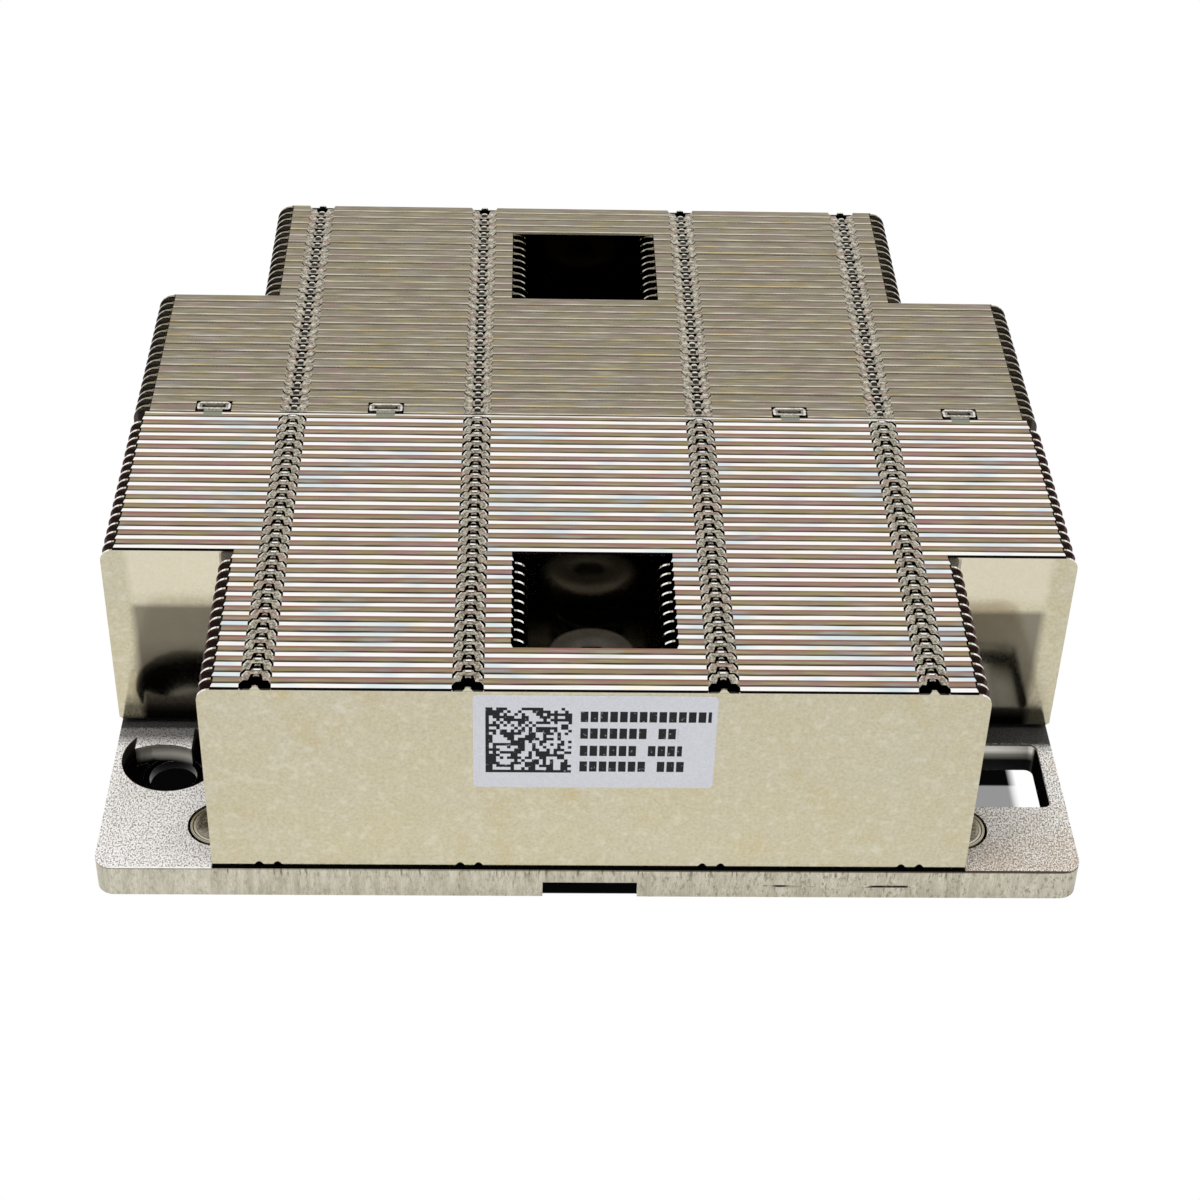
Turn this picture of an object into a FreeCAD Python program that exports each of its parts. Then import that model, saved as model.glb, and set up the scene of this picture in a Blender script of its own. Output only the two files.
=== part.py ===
import FreeCAD, Part
import math
import os
import Sketcher

# Passive server CPU heatsink: two stacks of folded, interlocked fins on a heat spreader
# that is staked into a cast mounting frame, with two spring-loaded captive screws.
#
# Frame of the part: millimetres, X to the right, Y to the rear, Z up. The origin is the
# centre of the contact face, which is the lowest face of the part.

V = FreeCAD.Vector
document = FreeCAD.newDocument("passive_heatsink")

# ---------------------------------------------------------------- driving dimensions

DIMENSIONS = (
    ("frame_width", 108.0, "cast mounting frame, left to right"),
    ("frame_depth", 101.6, "cast mounting frame, front to rear"),
    ("frame_thickness", 4.0, "cast mounting frame, height"),
    ("frame_corner_radius", 2.0, "vertical outer corners of the frame"),
    ("tool_notch_width", 10.4, "notch under the front and rear edges of the frame"),
    ("tool_notch_height", 2.1, "height of that notch"),
    ("tool_notch_depth", 2.4, "how far that notch reaches under the frame"),
    ("pocket_radius", 5.6, "round pocket in the front left and rear right of the frame"),
    ("pocket_side_wall", 0.8, "wall between the pocket and the frame's side"),
    ("pocket_block_gap", 0.42, "edge of the pocket in front of the wide block of fins"),
    ("pocket_floor", 1.4, "floor left under the pocket"),
    ("pocket_hole_radius", 2.7, "through hole in the pocket's floor"),
    ("pocket_tongue_width", 6.4, "tongue that reaches over the pocket from the rear"),
    ("pocket_tongue_reach", 1.5, "gap between the pocket's centre and the tongue"),
    ("pocket_tongue_shift", 1.1, "tongue's middle from the pocket's centre, outwards"),
    ("guide_slot_width", 10.4, "square guide opening, across"),
    ("guide_slot_depth", 10.7, "square guide opening, along"),
    ("guide_side_wall", 1.7, "wall between the guide opening and the frame's side"),
    ("guide_block_gap", 2.77, "guide opening in front of the wide block of fins"),
    ("seat_side_border", 17.0, "frame left beside its middle opening"),
    ("seat_end_border", 3.5, "frame left in front of and behind its middle opening"),
    ("seat_clearance", 0.2, "gap round the spreader in the frame's opening"),
    ("spreader_rise", 0.5, "spreader's top above the frame's top"),
    ("ear_thickness", 2.0, "spreader's ears, let into the frame's underside"),
    ("ear_half_depth", 2.9, "ears, half their length along"),
    ("ear_reach", 3.6, "ears, from the post's axis outwards"),
    ("pedestal_width", 56.0, "contact pedestal, across"),
    ("pedestal_depth", 50.0, "contact pedestal, along"),
    ("pedestal_drop", 1.5, "contact pedestal, below the frame"),
    ("post_outset", 4.0, "staked post's axis outside the frame's middle opening"),
    ("post_inset", 3.5, "staked post's axis from the end of that opening"),
    ("post_radius", 3.1, "staked post"),
    ("post_ring_gap", 0.2, "ring left round each staked post"),
    ("fin_height", 25.0, "folded fin, height"),
    ("sheet_thickness", 0.3, "folded fin, sheet"),
    ("stack_inset", 0.4, "outer fins behind the frame's front and rear edges"),
    ("fold_gap", 0.08, "gap between a fold's free edge and the next fin"),
    ("fin_overhang", 0.2, "fins of the middle block beyond the frame's sides"),
    ("block_step", 13.1, "fins of the end blocks, shorter at each side"),
    ("window_clearance", 1.6, "window beside the screw's head"),
    ("fin_corner_break", 1.5, "slanted upper corners of each fin, at its outer ends"),
    ("lock_inset", 6.1, "lock columns from the window and from the end blocks' sides"),
    ("lock_base_half", 1.6, "lock notch, half its width at the bend"),
    ("lock_depth", 1.3, "lock notch, depth from the bend to its point"),
    ("lock_clearance", 0.1, "gap round each lock tab in its notch"),
    ("hook_inset", 9.7, "outer hooks between the halves, from the wide fins' sides"),
    ("hook_half_width", 1.9, "hooks between the halves, half their width"),
    ("hook_length", 1.25, "hooks, from the fold's free edge"),
    ("hook_slit_half", 1.05, "slit in each hook, half its width"),
    ("hook_slit_length", 0.45, "slit in each hook"),
    ("screw_head_radius", 5.5, "captive screw, head"),
    ("screw_head_height", 3.0, "captive screw, head"),
    ("screw_top_drop", 8.0, "top of the screw below the top of the fins"),
    ("screw_shank_radius", 2.5, "captive screw, shank"),
    ("screw_thread_radius", 2.0, "captive screw, threaded end"),
    ("screw_tip_height", 0.4, "screw's end above the contact face at rest"),
    ("screw_drive_radius", 2.0, "hexagonal drive recess, centre to corner"),
    ("screw_drive_depth", 1.8, "hexagonal drive recess"),
    ("screw_hole_clearance", 0.4, "gap round the shank in the spreader"),
    ("clip_seat", 1.8, "spreader left above the retaining clip"),
    ("clip_overlap", 0.3, "retaining clip, its sides beyond the hole over it"),
    ("clip_thickness", 0.6, "retaining clip"),
    ("clip_clearance", 0.1, "gap between the clip, the screw's groove and its seat"),
    ("clip_groove_depth", 0.3, "groove for the retaining clip, below the thread"),
    ("clip_well_gap", 0.3, "gap round the clip in the square well that keeps it from turning"),
    ("clip_mouth_bite", 0.25, "mouth of the retaining clip, narrower than the groove, each side"),
    ("spring_shank_gap", 0.9, "gap between the spring and the screw's shank"),
    ("spring_wire_radius", 0.5, "spring wire"),
    ("spring_turns", 4.5, "turns of the spring"),
    ("label_width", 25.4, "label on the front fin"),
    ("label_height", 12.7, "label on the front fin"),
    ("label_thickness", 0.1, "label on the front fin"),
    ("label_top_gap", 0.9, "label's top edge below the top of the fins"),
)

sheet = document.addObject("Spreadsheet::Sheet", "Sizes")
for row, (alias, number, meaning) in enumerate(DIMENSIONS, start=1):
    sheet.set("A%d" % row, alias)
    sheet.set("B%d" % row, repr(number))
    sheet.set("C%d" % row, meaning)
    sheet.setAlias("B%d" % row, alias)
document.recompute()


def size(alias):
    """The number behind an alias, for counts, checks and edge searches."""
    return float(sheet.get(alias))


# Levels and lengths that follow from the driving dimensions, as expressions.
FRAME_BOTTOM = "Sizes.pedestal_drop"
FRAME_TOP = "(Sizes.pedestal_drop + Sizes.frame_thickness)"
SPREADER_TOP = "(Sizes.pedestal_drop + Sizes.frame_thickness + Sizes.spreader_rise)"
CLIP_SEAT = "(%s - Sizes.clip_seat)" % SPREADER_TOP
FIN_TOP = "(%s + Sizes.fin_height)" % SPREADER_TOP
HEAD_TOP = "(%s - Sizes.screw_top_drop)" % FIN_TOP
HEAD_UNDERSIDE = "(%s - Sizes.screw_head_height)" % HEAD_TOP
POCKET_DEPTH = "(Sizes.frame_thickness - Sizes.pocket_floor)"

FINS_PER_HALF = 30
END_FINS = 4
WINDOW_FINS = 10
FIRST_WIDE_FIN = END_FINS + WINDOW_FINS + 1
WINDOW_FIRST = END_FINS + 1
WINDOW_MIDDLE = END_FINS + WINDOW_FINS / 2

# The fins share out the frame's depth, and every place along the stack follows their pitch.
STACK_HALF_DEPTH = "(Sizes.frame_depth / 2 - Sizes.stack_inset)"
FIN_PITCH = "(%s / %d)" % (STACK_HALF_DEPTH, FINS_PER_HALF)
FOLD_REACH = "(%s - Sizes.fold_gap)" % FIN_PITCH
SCREW_ALONG = "(%g * %s)" % (FINS_PER_HALF - WINDOW_MIDDLE, FIN_PITCH)
BLOCK_HALF_DEPTH = "(%d * %s)" % (FINS_PER_HALF + 1 - FIRST_WIDE_FIN, FIN_PITCH)

# Places across the fins, each from the side or the window that it lines up with.
WIDE_HALF = "(Sizes.frame_width / 2 + Sizes.fin_overhang)"
NARROW_HALF = "(%s - Sizes.block_step)" % WIDE_HALF
WINDOW_HALF = "(Sizes.screw_head_radius + Sizes.window_clearance)"
LOCK_OUTER = "(%s - Sizes.lock_inset)" % NARROW_HALF
LOCK_INNER = "(%s + Sizes.lock_inset)" % WINDOW_HALF
HOOK_OUTER = "(%s - Sizes.hook_inset)" % WIDE_HALF
HOOK_INNER = "((%s + %s) / 2)" % (LOCK_INNER, LOCK_OUTER)

# Places in the frame and the spreader.
SEAT_HALF_WIDTH = "(Sizes.frame_width / 2 - Sizes.seat_side_border)"
SEAT_HALF_DEPTH = "(Sizes.frame_depth / 2 - Sizes.seat_end_border)"
POST_ACROSS = "(%s + Sizes.post_outset)" % SEAT_HALF_WIDTH
POST_ALONG = "(%s - Sizes.post_inset)" % SEAT_HALF_DEPTH
POCKET_ACROSS = "(Sizes.frame_width / 2 - Sizes.pocket_side_wall - Sizes.pocket_radius)"
POCKET_ALONG = "(%s + Sizes.pocket_block_gap + Sizes.pocket_radius)" % BLOCK_HALF_DEPTH
GUIDE_ACROSS = "(Sizes.frame_width / 2 - Sizes.guide_side_wall - Sizes.guide_slot_width / 2)"
GUIDE_ALONG = "(%s + Sizes.guide_block_gap + Sizes.guide_slot_depth / 2)" % BLOCK_HALF_DEPTH
SCREW_HOLE_RADIUS = "(Sizes.screw_shank_radius + Sizes.screw_hole_clearance)"
CLIP_HALF_WIDTH = "(%s + Sizes.clip_overlap)" % SCREW_HOLE_RADIUS
GROOVE_RADIUS = "(Sizes.screw_thread_radius - Sizes.clip_groove_depth)"

# ---------------------------------------------------------------- modelling helpers


def new_body(name):
    body = document.addObject("PartDesign::Body", name)
    body.Label = name
    return body


def plane_sketch(body, name, plane, height=None):
    """A sketch on one of the body's own origin planes, raised by an expression."""
    sketch = body.newObject("Sketcher::SketchObject", name)
    planes = [feature for feature in body.Origin.OriginFeatures if feature.Role == plane]
    sketch.AttachmentSupport = [(planes[0], "")]
    sketch.MapMode = "FlatFace"
    if height is not None:
        sketch.setExpression("AttachmentOffset.Base.z", height)
    return sketch


def add_polygon(sketch, corners):
    """A closed outline whose corners are pinned to pairs of expressions."""
    count = len(corners)
    first = sketch.GeometryCount
    spread = [V(10 * math.cos(2 * math.pi * turn / count),
                10 * math.sin(2 * math.pi * turn / count), 0) for turn in range(count)]
    lines = [Part.LineSegment(spread[turn], spread[(turn + 1) % count]) for turn in range(count)]
    sketch.addGeometry(lines, False)
    joins = [Sketcher.Constraint("Coincident", first + turn, 2, first + (turn + 1) % count, 1)
             for turn in range(count)]
    sketch.addConstraint(joins)
    for turn, (across, along) in enumerate(corners):
        start = spread[turn]
        for kind, place, expression in (("DistanceX", start.x, across),
                                        ("DistanceY", start.y, along)):
            pin = sketch.addConstraint(
                Sketcher.Constraint(kind, -1, 1, first + turn, 1, place))
            sketch.setExpression("Constraints[%d]" % pin, expression)


def add_rectangle(sketch, left, right, near, far):
    add_polygon(sketch, ((left, near), (right, near), (right, far), (left, far)))


def add_circle(sketch, across, along, radius):
    circle = sketch.addGeometry(Part.Circle(V(1, 1, 0), V(0, 0, 1), 1), False)
    for kind, expression in (("DistanceX", across), ("DistanceY", along)):
        pin = sketch.addConstraint(Sketcher.Constraint(kind, -1, 1, circle, 3, 1))
        sketch.setExpression("Constraints[%d]" % pin, expression)
    pin = sketch.addConstraint(Sketcher.Constraint("Radius", circle, 1))
    sketch.setExpression("Constraints[%d]" % pin, radius)


def add_feature(body, kind, name, sketch, length=None, reverse=False, through=False):
    """A pad or a pocket from a sketch, by an expression or through everything."""
    feature = body.newObject("PartDesign::" + kind, name)
    feature.Profile = sketch
    feature.Refine = True
    feature.Reversed = reverse
    if through:
        feature.Type = "ThroughAll"
        feature.Midplane = True
    else:
        feature.setExpression("Length", length)
    body.Tip = feature
    return feature


def pad(body, name, sketch, length, reverse=False):
    return add_feature(body, "Pad", name, sketch, length, reverse)


def pocket(body, name, sketch, length=None, reverse=False, through=False):
    """A pocket that is checked to have taken something away."""
    document.recompute()
    before = body.Tip.Shape.Volume
    feature = add_feature(body, "Pocket", name, sketch, length, reverse, through)
    document.recompute()
    if feature.Shape.Volume >= before:
        raise RuntimeError("the pocket %s cuts nothing" % name)
    return feature


def dress(body, kind, name, test, amount, length):
    """A fillet or a chamfer on those edges of the body's tip that pass the test."""
    document.recompute()
    base = body.Tip
    names = ["Edge%d" % number for number, edge in enumerate(base.Shape.Edges, start=1)
             if test([vertex.Point for vertex in edge.Vertexes])]
    if not names:
        raise RuntimeError("%s finds no edge" % name)
    feature = body.newObject("PartDesign::" + kind, name)
    feature.Base = (base, names)
    feature.setExpression(amount, length)
    body.Tip = feature
    return feature


def near(first, second):
    return abs(first - second) < 0.001


def upright_at(half_width, half_depth):
    """A test for upright edges at the four points that mirror one another."""
    def passes(points):
        if len(points) < 2 or near(points[0].z, points[1].z):
            return False
        return all(near(abs(point.x), half_width) and near(abs(point.y), half_depth)
                   for point in points)
    return passes


def revolved(body, name, corners):
    """A turned piece: a half profile on the XZ plane, turned about Z."""
    sketch = plane_sketch(body, name + "_profile", "XZ_Plane")
    add_polygon(sketch, corners)
    turned = body.newObject("PartDesign::Revolution", name + "_turning")
    turned.Profile = sketch
    turned.ReferenceAxis = (sketch, ["V_Axis"])
    turned.Angle = 360
    body.Tip = turned
    return turned


def place(piece, across="0", along="0", height="0"):
    for axis, expression in (("x", across), ("y", along), ("z", height)):
        piece.setExpression("Placement.Base." + axis, expression)


def clone(name, master):
    """Another piece of the same make: a body of its own on the master's shape."""
    body = new_body(name)
    copy = document.addObject("PartDesign::FeatureBase", name + "_copy")
    copy.BaseFeature = master
    copy.Placement = master.Placement
    body.Group = [copy]
    body.Tip = copy
    return body


NODES = []


def node(piece):
    NODES.append(piece)
    return piece


def node_group(name, pieces):
    group = document.addObject("Part::Compound", name)
    group.Label = name
    group.Links = pieces
    return node(group)


# ---------------------------------------------------------------- mounting frame


def make_frame():
    """The cast frame: a flat plate with its seat, pockets, guide openings and notches."""
    body = new_body("mounting_frame")
    outline = plane_sketch(body, "frame_outline", "XY_Plane", FRAME_BOTTOM)
    add_rectangle(outline, "-Sizes.frame_width / 2", "Sizes.frame_width / 2",
                  "-Sizes.frame_depth / 2", "Sizes.frame_depth / 2")
    pad(body, "frame_plate", outline, "Sizes.frame_thickness")
    dress(body, "Fillet", "frame_corners",
          upright_at(size("frame_width") / 2, size("frame_depth") / 2),
          "Radius", "Sizes.frame_corner_radius")

    seat = plane_sketch(body, "seat_outline", "XY_Plane", FRAME_BOTTOM)
    add_rectangle(seat, "-" + SEAT_HALF_WIDTH, SEAT_HALF_WIDTH,
                  "-" + SEAT_HALF_DEPTH, SEAT_HALF_DEPTH)
    pocket(body, "spreader_seat", seat, through=True)

    ears = plane_sketch(body, "ear_recess_outline", "XY_Plane", FRAME_BOTTOM)
    for side in ("-", ""):
        for end in ("-", ""):
            add_rectangle(ears, *ear_box(side, end, "Sizes.seat_clearance"))
    pocket(body, "ear_recesses", ears, "Sizes.ear_thickness", reverse=True)

    posts = plane_sketch(body, "post_hole_outline", "XY_Plane", FRAME_TOP)
    for side in ("-", ""):
        for end in ("-", ""):
            add_circle(posts, side + POST_ACROSS, end + POST_ALONG,
                       "Sizes.post_radius + Sizes.post_ring_gap")
    pocket(body, "post_holes", posts, through=True)

    rounds = plane_sketch(body, "pocket_outline", "XY_Plane", FRAME_TOP)
    holes = plane_sketch(body, "pocket_hole_outline", "XY_Plane", FRAME_TOP)
    tongues = plane_sketch(body, "pocket_tongue_outline", "XY_Plane", FRAME_TOP)
    slots = plane_sketch(body, "guide_slot_outline", "XY_Plane", FRAME_TOP)
    for out, back in (("-", "+"), ("+", "-")):
        front = "-" if back == "+" else "+"
        across = out + POCKET_ACROSS
        along = front + POCKET_ALONG
        add_circle(rounds, across, along, "Sizes.pocket_radius")
        add_circle(holes, across, along, "Sizes.pocket_hole_radius")
        middle = "%s(%s + Sizes.pocket_tongue_shift)" % (out, POCKET_ACROSS)
        add_rectangle(tongues, middle + " - Sizes.pocket_tongue_width / 2",
                      middle + " + Sizes.pocket_tongue_width / 2",
                      "%s %s Sizes.pocket_tongue_reach" % (along, back),
                      "%s %s Sizes.pocket_radius" % (along, back))
        inwards = "+" if out == "-" else "-"
        across = inwards + GUIDE_ACROSS
        along = front + GUIDE_ALONG
        add_rectangle(slots, across + " - Sizes.guide_slot_width / 2",
                      across + " + Sizes.guide_slot_width / 2",
                      along + " - Sizes.guide_slot_depth / 2",
                      along + " + Sizes.guide_slot_depth / 2")
    pocket(body, "round_pockets", rounds, POCKET_DEPTH)
    pocket(body, "pocket_holes", holes, through=True)
    pad(body, "pocket_tongues", tongues, POCKET_DEPTH, reverse=True)
    pocket(body, "guide_slots", slots, through=True)

    notches = plane_sketch(body, "tool_notch_outline", "XY_Plane", FRAME_BOTTOM)
    for end in ("-", ""):
        edge = "%sSizes.frame_depth / 2" % end
        inner = "%s(Sizes.frame_depth / 2 - Sizes.tool_notch_depth)" % end
        add_rectangle(notches, "-Sizes.tool_notch_width / 2", "Sizes.tool_notch_width / 2",
                      edge, inner)
    pocket(body, "tool_notches", notches, "Sizes.tool_notch_height", reverse=True)
    return node(body)


def ear_box(side, end, margin):
    """Sides of one ear, from inside the frame's opening to past the post."""
    inner = "%s(%s - Sizes.ear_thickness)" % (side, SEAT_HALF_WIDTH)
    outer = "%s(%s + Sizes.ear_reach + %s)" % (side, POST_ACROSS, margin)
    middle = end + POST_ALONG
    return (inner, outer, "%s - Sizes.ear_half_depth - %s" % (middle, margin),
            "%s + Sizes.ear_half_depth + %s" % (middle, margin))


# ---------------------------------------------------------------- heat spreader


def make_spreader():
    """The spreader: a block in the frame's seat, with a pedestal and four ears.

    A post stands on each ear and is staked flush in its hole in the frame.
    """
    body = new_body("heat_spreader")
    pedestal = plane_sketch(body, "pedestal_outline", "XY_Plane")
    add_rectangle(pedestal, "-Sizes.pedestal_width / 2", "Sizes.pedestal_width / 2",
                  "-Sizes.pedestal_depth / 2", "Sizes.pedestal_depth / 2")
    pad(body, "contact_pedestal", pedestal, SPREADER_TOP)

    block = plane_sketch(body, "block_outline", "XY_Plane", FRAME_BOTTOM)
    half_width = "(%s - Sizes.seat_clearance)" % SEAT_HALF_WIDTH
    half_depth = "(%s - Sizes.seat_clearance)" % SEAT_HALF_DEPTH
    add_rectangle(block, "-" + half_width, half_width, "-" + half_depth, half_depth)
    pad(body, "spreader_block", block, "Sizes.frame_thickness + Sizes.spreader_rise")

    ears = plane_sketch(body, "ear_outline", "XY_Plane", FRAME_BOTTOM)
    for side in ("-", ""):
        for end in ("-", ""):
            add_rectangle(ears, *ear_box(side, end, "0"))
    pad(body, "spreader_ears", ears, "Sizes.ear_thickness")

    posts = plane_sketch(body, "post_outline", "XY_Plane", FRAME_BOTTOM)
    for side in ("-", ""):
        for end in ("-", ""):
            add_circle(posts, side + POST_ACROSS, end + POST_ALONG, "Sizes.post_radius")
    pad(body, "staked_posts", posts, "Sizes.frame_thickness")

    holes = plane_sketch(body, "spreader_hole_outline", "XY_Plane", SPREADER_TOP)
    wells = plane_sketch(body, "clip_well_outline", "XY_Plane", CLIP_SEAT)
    for end in ("-", ""):
        add_circle(holes, "0", end + SCREW_ALONG, SCREW_HOLE_RADIUS)
        well = "(%s + Sizes.clip_well_gap)" % CLIP_HALF_WIDTH
        add_rectangle(wells, "-" + well, well, "%s%s - %s" % (end, SCREW_ALONG, well),
                      "%s%s + %s" % (end, SCREW_ALONG, well))
    pocket(body, "screw_holes", holes, through=True)
    pocket(body, "clip_wells", wells, CLIP_SEAT)

    return node(body)


# ---------------------------------------------------------------- folded fins


class FinKind:
    """What sets one make of fin apart: its sides, its locks and which way it folds."""

    def __init__(self, name, left, right, columns, rear, locks=True, hooks=False):
        self.name = name
        self.left = left
        self.right = right
        self.columns = columns
        self.rear = rear
        self.locks = locks
        self.hooks = hooks


LOCK_COLUMNS = ("-" + LOCK_OUTER, "-" + LOCK_INNER, LOCK_INNER, LOCK_OUTER)
HOOKS = ("-" + HOOK_OUTER, "-" + HOOK_INNER, HOOK_INNER, HOOK_OUTER)
TOP_FOLD = "(Sizes.fin_height - Sizes.sheet_thickness)"


def make_fin(kind):
    """A fin folded from one sheet, standing at y = 0, with its folds towards its neighbour.

    The upper fold carries a tab behind each lock column, which fills the notch that the
    next fin has at its bend. The two fins where the halves of the stack meet have no
    neighbour to lock, so the front one has hooks and the rear one the gaps for them.
    """
    body = new_body(kind.name)
    forward = "-" if kind.rear else ""

    section = plane_sketch(body, kind.name + "_section", "YZ_Plane", kind.left)
    sheet_back = forward + "Sizes.sheet_thickness"
    fold_edge = forward + FOLD_REACH
    add_polygon(section, (
        ("0", "0"), (fold_edge, "0"), (fold_edge, "Sizes.sheet_thickness"),
        (sheet_back, "Sizes.sheet_thickness"), (sheet_back, TOP_FOLD), (fold_edge, TOP_FOLD),
        (fold_edge, "Sizes.fin_height"), ("0", "Sizes.fin_height")))
    pad(body, kind.name + "_folding", section, "%s - (%s)" % (kind.right, kind.left))
    top = size("fin_height")
    window = size("screw_head_radius") + size("window_clearance")
    dress(body, "Chamfer", kind.name + "_corners",
          lambda points: near(points[0].x, points[-1].x)
          and all(near(point.z, top) and not near(abs(point.x), window) for point in points),
          "Size", "Sizes.fin_corner_break")

    if kind.locks:
        tabs = plane_sketch(body, kind.name + "_tab_outline", "XY_Plane", TOP_FOLD)
        for column in kind.columns:
            add_tab(tabs, column, forward)
        pad(body, kind.name + "_tabs", tabs, "Sizes.sheet_thickness")
    elif kind.rear:
        gaps = plane_sketch(body, kind.name + "_hook_gaps", "XY_Plane", "Sizes.fin_height")
        for hook in HOOKS:
            half = "(Sizes.hook_half_width + Sizes.lock_clearance)"
            add_rectangle(gaps, "%s - %s" % (hook, half), "%s + %s" % (hook, half),
                          forward + "(Sizes.sheet_thickness)", forward + FIN_PITCH)
        pocket(body, kind.name + "_hook_pockets", gaps, "Sizes.sheet_thickness")
    if kind.hooks:
        hooks = plane_sketch(body, kind.name + "_hook_outline", "XY_Plane", TOP_FOLD)
        slits = plane_sketch(body, kind.name + "_slit_outline", "XY_Plane", "Sizes.fin_height")
        for hook in HOOKS:
            half = "Sizes.hook_half_width"
            add_rectangle(hooks, "%s - %s" % (hook, half), "%s + %s" % (hook, half),
                          FOLD_REACH + " - Sizes.sheet_thickness",
                          FOLD_REACH + " + Sizes.hook_length")
            slit_start = "%s + Sizes.hook_length / 2 - Sizes.hook_slit_length / 2" % FOLD_REACH
            add_rectangle(slits, "%s - Sizes.hook_slit_half" % hook,
                          "%s + Sizes.hook_slit_half" % hook,
                          slit_start, slit_start + " + Sizes.hook_slit_length")
        pad(body, kind.name + "_hooks", hooks, "Sizes.sheet_thickness")
        pocket(body, kind.name + "_hook_slits", slits, "Sizes.sheet_thickness")

    notches = plane_sketch(body, kind.name + "_notch_outline", "XY_Plane", "Sizes.fin_height")
    for column in kind.columns:
        add_polygon(notches, (
            (column + " - Sizes.lock_base_half", "0"), (column + " + Sizes.lock_base_half", "0"),
            (column, forward + "Sizes.lock_depth")))
    pocket(body, kind.name + "_notches", notches, "Sizes.sheet_thickness")
    return body


def add_tab(sketch, column, forward):
    """One pointed lock tab: the next fin's notch, less a clearance all round."""
    slant = "(Sizes.lock_base_half / Sizes.lock_depth)"
    root = "(Sizes.lock_base_half - Sizes.lock_clearance + Sizes.fold_gap * %s)" % slant
    point = "(%s + Sizes.lock_depth - Sizes.lock_clearance / %s)" % (FIN_PITCH, slant)
    start = "%s(%s - Sizes.sheet_thickness)" % (forward, FOLD_REACH)
    edge = forward + FOLD_REACH
    add_polygon(sketch, (
        ("%s - %s" % (column, root), start), ("%s + %s" % (column, root), start),
        ("%s + %s" % (column, root), edge), (column, forward + point),
        ("%s - %s" % (column, root), edge)))


def fin_station(number, rear):
    """Where fin number 1, 2, 3 ... of a half stands, counted from its outer end."""
    outwards = "-" if not rear else ""
    return "%s(%s - %d * %s)" % (outwards, STACK_HALF_DEPTH, number - 1, FIN_PITCH)


def make_half(rear):
    """One half of the stack: end fins, windowed half fins, and the wide block's fins."""
    end = "rear" if rear else "front"
    narrow_fin = make_fin(FinKind(end + "_narrow_make", "-" + NARROW_HALF, NARROW_HALF,
                                  LOCK_COLUMNS, rear))
    wide_fin = make_fin(FinKind(end + "_wide_make", "-" + WIDE_HALF, WIDE_HALF,
                                LOCK_COLUMNS, rear))
    last_fin = make_fin(FinKind(end + "_middle_make", "-" + WIDE_HALF, WIDE_HALF,
                                LOCK_COLUMNS, rear, locks=False, hooks=not rear))
    for number in range(1, END_FINS + 1):
        put_fin("%s_fin_%02d" % (end, number), narrow_fin, number, rear)
    sides = (("left", "-" + NARROW_HALF, "-" + WINDOW_HALF, LOCK_COLUMNS[:2]),
             ("right", WINDOW_HALF, NARROW_HALF, LOCK_COLUMNS[2:]))
    for side, left, right, columns in sides:
        half_fin = make_fin(FinKind("%s_%s_make" % (end, side), left, right, columns, rear))
        pieces = []
        for number in range(WINDOW_FIRST, FIRST_WIDE_FIN):
            piece = clone("%s_%s_fin_%02d" % (end, side, number), half_fin)
            place(piece, "0", fin_station(number, rear), SPREADER_TOP)
            pieces.append(piece)
        node_group("%s_%s_window_fins" % (end, side), pieces)
    for number in range(FIRST_WIDE_FIN, FINS_PER_HALF):
        put_fin("%s_fin_%02d" % (end, number), wide_fin, number, rear)
    put_fin("%s_fin_%02d" % (end, FINS_PER_HALF), last_fin, FINS_PER_HALF, rear)


def put_fin(name, make, number, rear):
    fin = clone(name, make)
    place(fin, "0", fin_station(number, rear), SPREADER_TOP)
    return node(fin)


# ---------------------------------------------------------------- captive screws


def make_screws():
    """Two captive screws: a round head with a hexagonal drive, a shank and a groove."""
    master = new_body("captive_screw_make")
    head, shank = "Sizes.screw_head_radius", "Sizes.screw_shank_radius"
    thread, groove = "Sizes.screw_thread_radius", GROOVE_RADIUS
    groove_top = "%s" % CLIP_SEAT
    groove_bottom = "(%s - Sizes.clip_thickness - 2 * Sizes.clip_clearance)" % CLIP_SEAT
    tip = "Sizes.screw_tip_height"
    revolved(master, "screw", (
        ("0", tip), (thread, tip), (thread, groove_bottom), (groove, groove_bottom),
        (groove, groove_top), (shank, groove_top), (shank, HEAD_UNDERSIDE),
        (head, HEAD_UNDERSIDE), (head, HEAD_TOP), ("0", HEAD_TOP)))
    drive = plane_sketch(master, "drive_outline", "XY_Plane", HEAD_TOP)
    corners = [("Sizes.screw_drive_radius * cos(%d)" % (60 * turn),
                "Sizes.screw_drive_radius * sin(%d)" % (60 * turn)) for turn in range(6)]
    add_polygon(drive, corners)
    pocket(master, "screw_drive", drive, "Sizes.screw_drive_depth")
    for end, sign in (("front", "-"), ("rear", "")):
        screw = clone("captive_screw_" + end, master)
        place(screw, "0", sign + SCREW_ALONG)
        node(screw)


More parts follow.
